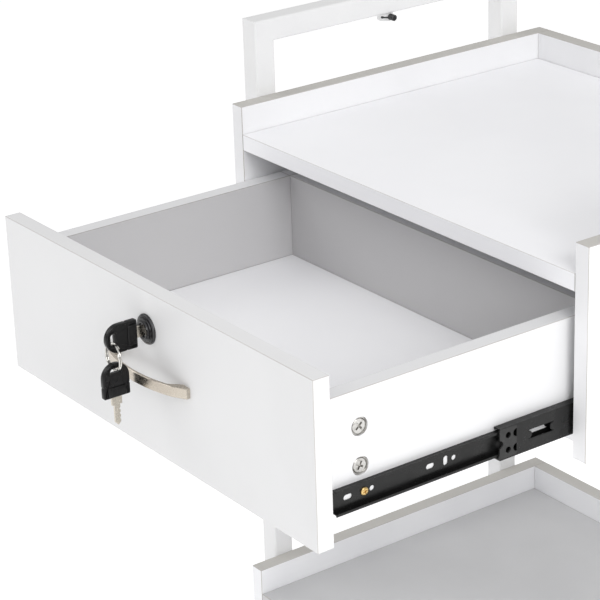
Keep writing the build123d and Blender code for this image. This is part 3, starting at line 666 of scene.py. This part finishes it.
# ------------------------------------------------------------------ sub-assemblies
class Assembly:
    """What the sub-assemblies share: dressing CAD pieces and putting new ones on bodies."""

    def dress(self, finish: bpy.types.Material, *nodes: str) -> None:
        """Give CAD pieces their finish.

        Args:
            finish: the material.
            nodes: the names of the pieces.
        """
        for node in nodes:
            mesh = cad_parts[node].data
            mesh.materials.clear()
            mesh.materials.append(finish)
            LOG.info("dressed %s in %s", node, finish.name)

    def fit(self, piece: bpy.types.Object, body: str, slot: str, *stands_for: str) -> None:
        """Put a new piece on its body, in place of the CAD pieces it stands for.

        Args:
            piece: the new piece.
            body: the body that it rides on.
            slot: not used.
            stands_for: the CAD pieces that it replaces.
        """
        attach(piece, body)
        if stands_for:
            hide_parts(*stands_for)
        LOG.info("built %s on %s", piece.name, body)


@dataclass
class SideFrames(Assembly):
    """The two tube frames with their screws and the lamp socket."""

    head_radius: float = 5.0
    head_height: float = 2.4
    screw_length: float = 33.0
    screw_inset: float = 0.040
    lever_tilt: float = 12.0

    def build(self) -> None:
        """Dress the tubes and build the screws and the clamp."""
        paint = PowderCoat("White powder coat").material()
        self.dress(paint, *(f"{side}_{part}" for side in ("left", "right") for part in (
            "front_upright", "rear_upright", "top_rail", "bottom_rail")), "lamp_socket")
        self.build_screws()
        self.build_clamp()

    def build_screws(self) -> None:
        """Cross-head screws through the uprights into the boards."""
        zinc = BareMetal("Bright zinc screws", (0.62, 0.62, 0.6), (0.42, 0.41, 0.38),
                         0.24).material()
        low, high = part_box("tray_left_rim")
        cabinet_low, cabinet_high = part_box("cabinet_left_side")
        heights = ((low[2] + high[2]) / 2, cabinet_low[2] + self.screw_inset,
                   cabinet_high[2] - self.screw_inset)
        places = []
        for side, sign in (("left", -1), ("right", 1)):
            for end in ("front", "rear"):
                near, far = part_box(f"{side}_{end}_upright")
                face = near[0] if sign < 0 else far[0]
                for height in heights:
                    seat = (face + sign * self.head_height * MM, (near[1] + far[1]) / 2, height)
                    places.append(place_on(seat, (sign, 0, 0), 0.3 + 7 * height))
        rim = self.head_radius
        rings = [(rim * 0.8, -0.35, 0), (rim * 0.96, -1.0, 0), (rim, -1.8, 0),
                 (rim, -self.head_height, 0), (2.5, -self.head_height, 0),
                 (2.5, -self.screw_length, 0)]
        shape = driven_head(rim * 0.55, (4.6, 1.1, 1.5), rings, 1.5)
        self.fit(into_object(shape, "frame_screw_set", zinc, places), "frame", "zinc",
                 "frame_screws")

    def build_clamp(self) -> None:
        """The lamp socket's clamp screw with its ribbed hub and ball-ended lever."""
        plastic = DarkCoat("Clamp black plastic", roughness=0.4, dust=0.05).material()
        low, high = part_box("lamp_clamp_screw")
        socket_low, socket_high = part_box("lamp_socket")
        middle = (socket_low[1] + socket_high[1]) / 2
        height = socket_low[2] + 4.0 * MM
        reach = (high[0] - low[0]) / MM
        hub = spun([(0, 0), (1.6, 0), (2.0, 0.4), (2.0, reach - 7.2), (2.7, reach - 7.2),
                    (3.0, reach - 6.8), (3.0, reach - 5.6), (2.7, reach - 5.3),
                    (2.7, reach - 4.4), (3.0, reach - 4.1), (3.0, reach - 0.7),
                    (2.4, reach - 0.1), (0, reach)], 32)
        self.fit(into_object(hub, "clamp_hub", plastic, [place_on((low[0], middle, height),
                                                                  (1, 0, 0))]),
                 "lamp_clamp_screw", "black_plastic", "lamp_clamp_screw")
        tilt = math.radians(self.lever_tilt)
        lever = spun([(0, 1.0), (1.0, 1.0), (0.85, 6), (0.8, 12), (1.05, 12.7), (1.2, 13.6),
                      (1.05, 14.5), (0.6, 14.9), (0, 15)], 20)
        start = (high[0] - 2.0 * MM, middle, height)
        self.fit(into_object(lever, "clamp_lever", plastic, [
            place_on(start, (0, -math.cos(tilt), math.sin(tilt)))]),
            "lamp_clamp_screw", "black_plastic")


@dataclass
class Cabinet(Assembly):
    """The boards of the cabinet, its rimmed top and the lower tray."""

    line_strength: float = 0.7

    def build(self) -> None:
        """Dress every fixed board."""
        board = Laminate("White laminate board", line_strength=self.line_strength).material()
        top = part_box("cabinet_left_side")[1][2]
        tray_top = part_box("tray_left_rim")[1][2]
        low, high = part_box("top_shelf")
        # The shelf is a lighter copy of the white board (painted light), with painted shade along
        # its sides and back.
        shelf = Laminate("White laminate shelf", face=(0.92, 0.92, 0.94),
                         cloud=(0.90, 0.90, 0.922), line_strength=0.55,
                         shade_corner_low=(low[0], -1.0, 0.0), shade_corner_high=(high[0], high[1], 2.0)
                         ).material()
        # The rims' top edges get painted shade.
        rim = Laminate("White laminate rim", face=(0.84, 0.84, 0.852),
                       cloud=(0.81, 0.81, 0.822), top_shade_height=top - 0.002,
                       line_strength=0.9).material()
        # The tray rims' top edges get painted shade.
        tray_rim = Laminate("White laminate tray rim", top_shade_height=tray_top - 0.002,
                            line_strength=0.9).material()
        # The tray floor is the white board painted grey: painted shade from the cabinet above, plus
        # painted shade along its sides and back.
        tray = Laminate("Painted shade tray laminate", face=(0.55, 0.55, 0.555),
                        cloud=(0.52, 0.52, 0.525), shade_corner_low=(low[0], -1.0, 0.0),
                        shade_corner_high=(high[0], high[1], 2.0)).material()
        self.dress(board, "cabinet_bottom")
        self.dress(shelf, "top_shelf")
        self.dress(rim, "cabinet_left_side", "cabinet_right_side", "cabinet_back")
        self.dress(tray_rim, "tray_left_rim", "tray_right_rim", "tray_back_rim")
        self.dress(tray, "tray_floor")


@dataclass
class Drawer(Assembly):
    """The drawer's boards, cam locks and handle."""

    cam_face: float = 5.6
    cam_radius: float = 7.4
    cam_shift: float = 0.75
    cam_setback: float = 0.032
    cam_drop: float = 0.030
    cam_pitch: float = 0.032

    def build(self) -> None:
        """Dress the boards and build the fittings."""
        low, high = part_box("drawer_bottom")
        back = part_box("drawer_back")[0][1]
        inner_half = -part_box("drawer_back")[0][0]
        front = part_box("drawer_front")[1][1]
        inside_low, inside_high = (-inner_half, front, high[2]), (inner_half, back, 2.0)
        # The drawer front is a darker copy of the white board: painted shade.
        front_board = Laminate("White laminate drawer front", face=(0.76, 0.76, 0.765),
                               cloud=(0.74, 0.74, 0.745), line_strength=0.6).material()
        # Painted shade on the top edges of the drawer's sides and back and along their inner
        # corners, besides the glue lines.
        glue_line_and_painted_shade = {"top_shade_colour": (0.72, 0.72, 0.73), "line_strength": 0.8, "shade_corner_width": 0.0011,
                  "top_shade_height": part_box("drawer_back")[1][2] - 0.002,
                  "shade_corner_low": inside_low, "shade_corner_high": inside_high}
        # The drawer's left side and back are a lighter copy of the white board: painted light.
        walls = Laminate("White laminate drawer walls", face=(0.955, 0.955, 0.97),
                         cloud=(0.94, 0.94, 0.96), **glue_line_and_painted_shade).material()
        # The drawer's right side is a darker copy of the white board: painted shade.
        side = Laminate("White laminate drawer side", face=(0.76, 0.76, 0.768),
                        cloud=(0.74, 0.74, 0.75), **glue_line_and_painted_shade).material()
        # The drawer bottom is a lighter copy of the white board (painted light), with painted shade
        # along its inner corners.
        panel = Laminate("White laminate drawer bottom", face=(0.94, 0.94, 0.955),
                         cloud=(0.92, 0.92, 0.94), shade_corner_low=(-inner_half, front, 0.0),
                         shade_corner_high=(inner_half, back, 2.0), shade_corner_width=0.0013).material()
        self.dress(front_board, "drawer_front")
        self.dress(walls, "drawer_left_side", "drawer_back")
        self.dress(side, "drawer_right_side")
        self.dress(panel, "drawer_bottom")
        nickel = BareMetal("Satin nickel handle", (0.56, 0.51, 0.44), (0.48, 0.43, 0.37), 0.27,
                           stretch=(0.06, 1.0, 1.0), line_size=2600.0, stain_size=40.0)
        self.dress(nickel.material(), "handle")
        self.build_cams()

    def build_cams(self) -> None:
        """Off-centre cross-slotted cams in the drawer's sides."""
        zinc = BareMetal("Cast zinc cams", (0.60, 0.59, 0.57), (0.38, 0.37, 0.35), 0.36,
                         stain_size=260.0).material()
        screw = BareMetal("Zinc cam bolts", (0.6, 0.6, 0.58), (0.4, 0.4, 0.37), 0.3).material()
        self.dress(screw, "drawer_cam_bolts", "handle_screws")
        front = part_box("drawer_front")[1][1]
        low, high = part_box("drawer_right_side")
        places = []
        for sign in (-1, 1):
            for drop in (self.cam_drop, self.cam_drop + self.cam_pitch):
                seat = (sign * (high[0] - 0.0009), front + self.cam_setback, high[2] - drop)
                places.append(place_on(seat, (sign, 0, 0), 0.5 + sign * drop * 9))
        shift = self.cam_shift
        rings = [(self.cam_face + 0.3, -0.25, 0), (self.cam_face + 0.5, -0.9, shift * 0.4),
                 (self.cam_radius - 0.7, -0.9, shift), (self.cam_radius - 0.4, -0.1, 0),
                 (self.cam_radius - 0.1, -0.05, 0), (self.cam_radius, -0.3, 0),
                 (self.cam_radius, -10.6, 0)]
        shape = driven_head(self.cam_face, (7.2, 1.7, 2.0), rings, 0.001)
        self.fit(into_object(shape, "cam_lock_set", zinc, places), "drawer", "zinc",
                 "drawer_cam_locks")


@dataclass
class Slides(Assembly):
    """The ball-bearing slides and the screws that hold them."""

    front_screw: float = 0.029
    rear_screw: float = 0.025
    head_radius: float = 3.4
    head_height: float = 1.6

    def build(self) -> None:
        """Dress the members and build the drawer's screws."""
        # The slide coating's lighter lips are partly rubbed wear, partly a painted highlight.
        coat = DarkCoat("Black slide coating", (0.006, 0.006, 0.006), (0.06, 0.06, 0.062),
                        roughness=0.3, edge=0.6, dust=0.06, gloss=0.3).material()
        plastic = DarkCoat("Slide retainer plastic", (0.02, 0.02, 0.02), roughness=0.5,
                           dust=0.08, grain_size=1500.0).material()
        cage = BareMetal("Ball cage strip", (0.62, 0.6, 0.55), (0.4, 0.38, 0.33), 0.3).material()
        gold = BareMetal("Yellow zinc screws", (0.66, 0.47, 0.2), (0.45, 0.3, 0.13),
                         0.3).material()
        self.dress(coat, "slide_cabinet_members", "slide_middle_members",
                   "slide_drawer_members")
        self.dress(plastic, "slide_retainers")
        self.dress(cage, "outer_ball_cages", "inner_ball_cages")
        self.dress(gold, "cabinet_wood_screws")
        low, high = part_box("slide_drawer_members")
        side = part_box("drawer_right_side")[1][0]
        middle = (low[2] + high[2]) / 2
        places = []
        for sign in (-1, 1):
            for place in (low[1] + self.front_screw, high[1] - self.rear_screw):
                seat = (sign * (side + (1.0 + self.head_height) * MM), place, middle)
                places.append(place_on(seat, (sign, 0, 0), 0.4 + place * 20))
        rim = self.head_radius
        rings = [(rim * 0.8, -0.2, 0), (rim * 0.96, -0.6, 0), (rim, -1.1, 0),
                 (rim, -self.head_height, 0), (1.7, -self.head_height, 0), (1.7, -9.5, 0)]
        shape = driven_head(rim * 0.6, (3.8, 0.9, 1.0), rings, 3.0)
        self.fit(into_object(shape, "slide_screw_set", gold, places), "drawer",
                 "yellow_zinc_screw", "drawer_wood_screws")


@dataclass
class Lock(Assembly):
    """The drawer lock's stepped ring, plug and tongue."""

    bore: float = 5.58
    ring: float = 8.0
    collar: float = 10.2
    flange: float = 12.7
    height: float = 5.0

    def build(self) -> None:
        """Turn the stepped ring and dress the rest."""
        black = DarkCoat("Gloss black lock", (0.006, 0.006, 0.007), roughness=0.2, edge=0.5,
                         dust=0.03, gloss=0.35).material()
        steel = BareMetal("Dark plated plug", (0.13, 0.13, 0.135), (0.06, 0.06, 0.06),
                          0.28).material()
        zinc = BareMetal("Zinc tongue", (0.6, 0.6, 0.58), (0.42, 0.42, 0.39), 0.3).material()
        self.dress(black, "lock_barrel")
        self.dress(steel, "lock_plug")
        self.dress(zinc, "lock_tongue", "lock_nut")
        low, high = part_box("lock_escutcheon")
        top = self.height
        profile = [(self.bore, 0), (self.bore, top - 0.9), (self.bore + 0.5, top - 0.25),
                   (self.bore + 1.0, top), (self.ring - 0.8, top), (self.ring - 0.25, top - 0.25),
                   (self.ring, top - 0.8), (self.ring, 3.7), (self.ring + 0.3, 3.4),
                   (self.collar - 0.5, 3.4), (self.collar - 0.1, 3.2), (self.collar, 2.8),
                   (self.collar, 2.3), (self.collar + 0.2, 2.2), (self.flange - 1.6, 2.15),
                   (self.flange - 0.6, 1.75), (self.flange - 0.1, 1.0), (self.flange, 0.5),
                   (self.flange, 0)]
        ring = spun(profile, 64, closed=True)
        centre = ((low[0] + high[0]) / 2, high[1], (low[2] + high[2]) / 2)
        self.fit(into_object(ring, "lock_ring", black, [place_on(centre, (0, -1, 0))], 40.0),
                 "drawer", "black_lock_metal", "lock_escutcheon")


@dataclass
class Keys(Assembly):
    """Two keys with moulded heads on a coiled split ring."""

    width: float = 24.0
    straight: float = 16.5
    thickness: float = 4.6
    edge_round: float = 0.7
    rim: float = 1.5
    field_depth: float = 0.6
    notch_place: float = 9.6
    notch_depth: float = 0.5
    notch_half: float = 1.0
    pad: tuple[float, float, float] = (8.4, 16.6, 5.6)
    pad_start: float = 0.3
    slot_place: float = 21.5
    slot_length: float = 10.4
    slot_width: float = 3.9
    slot_bend: float = 1.5
    wire: float = 0.72
    ring_radius: float = 10.8
    ring_turns: float = 1.94
    ring_steps: int = 124

    def build(self) -> None:
        """Mould both heads, coil the ring and dress the blades."""
        plastic = DarkCoat("Key head plastic", (0.0035, 0.0035, 0.0037), (0.03, 0.03, 0.032),
                           roughness=0.3, edge=0.25, dust=0.015, grain_size=1600.0,
                           grain_depth=0.00002, gloss=0.25).material()
        steel = BareMetal("Nickel silver key blades", (0.56, 0.52, 0.45), (0.33, 0.29, 0.24),
                          0.24, stretch=(1.0, 0.4, 0.4)).material()
        wire = BareMetal("Nickel key ring", (0.68, 0.67, 0.64), (0.45, 0.43, 0.4), 0.16).material()
        self.dress(steel, "key_blade", "spare_key_blade")
        for body, outward in (("key", Vector((0, -1, 0))), ("spare_key", Vector((0, 0, 1)))):
            low, high = (Vector(corner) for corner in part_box(f"{body}_head"))
            centre = (low + high) / 2
            reach = abs((high - low).dot(outward))
            root = centre - outward * reach / 2
            across = Vector((1, 0, 0)).cross(outward)
            turn = Matrix((outward, across, outward.cross(across))).transposed().to_4x4()
            place = Matrix.Translation(root) @ turn
            self.fit(into_object(self.head(), f"{body}_moulded_head", plastic, [place], 40.0),
                     body, "black_plastic", f"{body}_head")
        self.build_ring(wire)

    def head(self) -> bmesh.types.BMesh:
        """A key head lying flat: its root at X = 0, its slot near the round end.

        Returns:
            The head, with a rim round its recessed faces and a pad at its root.
        """
        bm = self.outline_with_slot()
        bmesh.ops.translate(bm, verts=bm.verts, vec=(0, 0, -self.thickness / 2))
        grown = bmesh.ops.extrude_face_region(bm, geom=bm.faces[:])["geom"]
        top = [item for item in grown if isinstance(item, bmesh.types.BMVert)]
        bmesh.ops.translate(bm, verts=top, vec=(0, 0, self.thickness))
        outer = sharp_edges(bm, 60)
        for side in (-1, 1):
            flat = [face for face in bm.faces if face.normal.z * side > 0.999]
            for reach, depth in ((self.rim, 0.0), (0.35, -self.field_depth)):
                bmesh.ops.inset_region(bm, faces=flat, thickness=reach, depth=depth,
                                       use_even_offset=False, use_boundary=True)
        round_over(bm, outer, self.edge_round)
        self.add_pad(bm)
        return bm

    def outline_with_slot(self) -> bmesh.types.BMesh:
        """The head's flat outline, notched beside its root and pierced by a bent slot.

        Returns:
            One layer of faces at height 0.
        """
        bm = bmesh.new()
        bmesh.ops.create_circle(bm, cap_ends=True, radius=self.width / 2, segments=48)
        bmesh.ops.bisect_plane(bm, geom=bm.verts[:] + bm.edges[:] + bm.faces[:], dist=1e-4,
                               plane_co=(0, 0, 0), plane_no=(1, 0, 0), clear_inner=True)
        bmesh.ops.translate(bm, verts=bm.verts, vec=(self.straight, 0, 0))
        cut = [e for e in bm.edges if all(abs(v.co.x - self.straight) < 1e-3 for v in e.verts)]
        drawn = bmesh.ops.extrude_edge_only(bm, edges=cut)["geom"]
        root = [item for item in drawn if isinstance(item, bmesh.types.BMVert)]
        bmesh.ops.translate(bm, verts=root, vec=(-self.straight, 0, 0))
        bmesh.ops.bevel(bm, geom=root, offset=1.2, offset_type="OFFSET", segments=3, profile=0.5,
                        affect="VERTICES", clamp_overlap=True, material=-1)
        for step in (-1, 0, 1):
            bmesh.ops.bisect_plane(bm, geom=bm.verts[:] + bm.edges[:] + bm.faces[:], dist=1e-4,
                                   plane_co=(self.notch_place + self.notch_half * step, 0, 0),
                                   plane_no=(1, 0, 0))
        for vert in bm.verts:
            if abs(vert.co.x - self.notch_place) < 1e-3:
                vert.co.y -= math.copysign(self.notch_depth, vert.co.y)
        outline = [edge for edge in bm.edges if edge.is_boundary]
        inner = [edge for edge in bm.edges if not edge.is_boundary]
        bmesh.ops.delete(bm, geom=bm.faces[:], context="FACES_ONLY")
        bmesh.ops.delete(bm, geom=inner, context="EDGES")
        slot = bmesh.ops.create_circle(bm, cap_ends=False, radius=self.slot_width / 2,
                                       segments=32)["verts"]
        half = (self.slot_length - self.slot_width) / 2
        for vert in slot:
            vert.co += Vector((self.slot_place, half if vert.co.y > 0 else -half, 0))
            vert.co.x += self.slot_bend * (1 - (2 * vert.co.y / self.slot_length) ** 2)
        slot_edges = list({edge for vert in slot for edge in vert.link_edges})
        bmesh.ops.bridge_loops(bm, edges=outline + slot_edges)
        return bm

    def add_pad(self, bm: bmesh.types.BMesh) -> None:
        """Add the raised pad across both faces at the head's root.

        Args:
            bm: the head, which the pad is joined to.
        """
        step = bmesh.new()
        bmesh.ops.create_cube(step, size=1.0)
        bmesh.ops.scale(step, verts=step.verts, vec=self.pad)
        bmesh.ops.translate(step, verts=step.verts,
                            vec=(self.pad_start + self.pad[0] / 2, 0, 0))
        round_over(step, step.edges[:], self.edge_round, 3)
        joined = bpy.data.meshes.new("step")
        step.to_mesh(joined)
        step.free()
        bm.from_mesh(joined)
        bpy.data.meshes.remove(joined)

    def build_ring(self, wire: bpy.types.Material) -> None:
        """Wind the split ring: two close turns of wire with cut ends.

        Args:
            wire: the ring's finish.
        """
        bm = bmesh.new()
        section = bmesh.ops.create_circle(bm, cap_ends=True, radius=self.wire, segments=10)
        bmesh.ops.rotate(bm, verts=section["verts"], cent=(0, 0, 0),
                         matrix=Matrix.Rotation(math.pi / 2, 3, "X"))
        bmesh.ops.translate(bm, verts=section["verts"], vec=(self.ring_radius, 0, 0))
        turns, steps = self.ring_turns, self.ring_steps
        pitch = 2 * self.wire * 1.02
        bmesh.ops.translate(bm, verts=section["verts"], vec=(0, 0, -pitch * turns / 2))
        start = bm.faces[:]
        bmesh.ops.spin(bm, geom=start, cent=(0, 0, 0), axis=(0, 0, 1),
                       dvec=(0, 0, pitch * turns / steps), angle=math.tau * turns, steps=steps,
                       use_merge=False)
        low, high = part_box("key_ring")
        centre = tuple((a + b) / 2 for a, b in zip(low, high))
        piece = into_object(bm, "coiled_key_ring", wire, [place_on(centre, (0, -1, 0), 0.9)], 50.0)
        self.fit(piece, "key_ring", "nickel", "key_ring")


@dataclass
class Casters(Assembly):
    """Four swivel casters with rubber tyres on moulded hubs."""

    radius: float = 25.0
    width: float = 18.0
    hub: float = 9.0
    bore: float = 3.05

    def build(self) -> None:
        """Turn the wheels and dress the forks."""
        tyre = Rubber("Grey rubber tyre").material()
        centre = PowderCoat("Grey moulded hub", (0.30, 0.30, 0.31), (0.26, 0.26, 0.27), 0.45,
                            0.00004).material()
        fork = BareMetal("Zinc plated fork", (0.64, 0.64, 0.63), (0.46, 0.46, 0.44), 0.25,
                         stain_size=60.0).material()
        axle = BareMetal("Zinc axle", (0.6, 0.6, 0.58), (0.36, 0.35, 0.33), 0.28).material()
        self.dress(axle, "caster_stems")
        half, rim = self.width / 2, self.radius - 6.5
        for corner in ("front_left", "front_right", "rear_left", "rear_right"):
            self.dress(fork, f"{corner}_caster_fork")
            self.dress(axle, f"{corner}_caster_axle")
            low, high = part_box(f"{corner}_caster_wheel")
            middle = tuple((a + b) / 2 for a, b in zip(low, high))
            place = [place_on(middle, (1, 0, 0))]
            edge = self.radius
            tread = spun([(rim, -half + 2.2), (rim + 1.0, -half + 1.0), (edge - 4.5, -half + 0.1),
                          (edge - 3.0, -half), (edge - 1.4, -half + 0.7),
                          (edge - 0.35, -half + 2.3), (edge, -half + 4.2), (edge, -1.2),
                          (edge - 0.5, -0.6), (edge - 0.5, 0.6), (edge, 1.2),
                          (edge, half - 4.2), (edge - 0.35, half - 2.3), (edge - 1.4, half - 0.7),
                          (edge - 3.0, half), (edge - 4.5, half - 0.1), (rim + 1.0, half - 1.0),
                          (rim, half - 2.2)], 64, closed=True)
            body = f"{corner}_wheel"
            self.fit(into_object(tread, f"{corner}_tyre", tyre, place, 40.0), body,
                     "caster_wheel", f"{corner}_caster_wheel")
            core = spun([(self.bore, -half), (self.hub - 1.5, -half), (self.hub - 0.6, -half + 0.6),
                         (self.hub, -half + 2.5), (rim - 3.5, -half + 4.5),
                         (rim - 1.2, -half + 2.6), (rim, -half + 2.2), (rim, half - 2.2),
                         (rim - 1.2, half - 2.6),
                         (rim - 3.5, half - 4.5), (self.hub, half - 2.5),
                         (self.hub - 0.6, half - 0.6), (self.hub - 1.5, half), (self.bore, half)],
                        64, closed=True)
            self.fit(into_object(core, f"{corner}_hub", centre, place, 40.0), body,
                     "caster_wheel")


# ------------------------------------------------------------------ stage
@dataclass
class Studio:
    """The floor, the soft lights and the camera."""

    eye: Colour = (1.43291, -1.16618, 1.25723)
    forward: Colour = (-0.751195, 0.536829, -0.384085)
    upward: Colour = (-0.292818, 0.250474, 0.922779)
    lens: float = 139.8
    sky: float = 0.64

    def build(self) -> None:
        """Set the stage."""
        self.lay_floor()
        self.hang_lights()
        self.set_camera()

    def lay_floor(self) -> None:
        """A wide pale floor."""
        bm = bmesh.new()
        bmesh.ops.create_grid(bm, x_segments=2, y_segments=2, size=9000.0)
        r = Recipe("Pale studio floor")
        cloud = r.noise(r.add("ShaderNodeTexCoord").outputs["Object"], 2.0)
        colour = r.mix(cloud, (0.97, 0.97, 0.97), (0.95, 0.95, 0.95))
        r.dress(Base_Color=colour, Roughness=0.9, Emission_Color=(1.0, 1.0, 1.0),
                Emission_Strength=0.36)
        into_object(bm, "studio_floor", r.material,
                             [Matrix.Translation((0, 0, -0.0002))])

    def hang_lights(self) -> None:
        """A bright even sky, darker low behind the viewer, and three soft panels."""
        world = bpy.data.worlds.new("Studio")
        bpy.context.scene.world = world
        world.use_nodes = True
        w = Wiring(world.node_tree)
        height = w.add("ShaderNodeSeparateXYZ",
                       {0: w.add("ShaderNodeTexCoord").outputs["Generated"]}).outputs["Z"]
        ramp = w.add("ShaderNodeMix", {0: w.ramp(height, -0.05, 0.55)}, data_type="RGBA")
        ramp.inputs[6].default_value = (0.84, 0.84, 0.85, 1)
        ramp.inputs[7].default_value = (1.0, 1.0, 1.0, 1)
        back = world.node_tree.nodes["Background"]
        world.node_tree.links.new(ramp.outputs[2], back.inputs["Color"])
        back.inputs["Strength"].default_value = self.sky
        panels = (("Left panel", (-1.7, -1.6, 1.9), (-0.1, -0.1, 0.5), 1.4, 10.0),
                  ("Right panel", (2.3, -0.7, 1.75), (0.0, 0.0, 0.45), 1.3, 38.0),
                  ("Top panel", (0.1, 0.0, 2.6), (0.0, 0.05, 0.5), 1.8, 3.0))
        for name, place, target, size, power in panels:
            lamp = bpy.data.lights.new(name, "AREA")
            lamp.shape = "SQUARE"
            lamp.size = size
            lamp.energy = power
            light = bpy.data.objects.new(name, lamp)
            aim = (Vector(target) - Vector(place)).to_track_quat("-Z", "Y")
            light.matrix_world = Matrix.Translation(place) @ aim.to_matrix().to_4x4()
            bpy.context.scene.collection.objects.link(light)

    def set_camera(self) -> None:
        """A long lens above the front right corner."""
        data = bpy.data.cameras.new("Camera")
        data.lens = self.lens
        data.sensor_width = 36.0
        data.clip_end = 50.0
        camera = bpy.data.objects.new("Camera", data)
        back, up = -Vector(self.forward), Vector(self.upward)
        turn = Matrix((up.cross(back), up, back)).transposed().to_4x4()
        camera.matrix_world = Matrix.Translation(self.eye) @ turn
        bpy.context.scene.collection.objects.link(camera)
        bpy.context.scene.camera = camera


def main() -> None:
    """Build the table and its stage."""
    logging.basicConfig(level=logging.INFO, format="%(message)s")
    bpy.context.scene.view_settings.view_transform = "Standard"
    Studio().build()
    for assembly in (SideFrames(), Cabinet(), Drawer(), Slides(), Lock(), Keys(), Casters()):
        assembly.build()


if __name__ == "__main__":
    main()
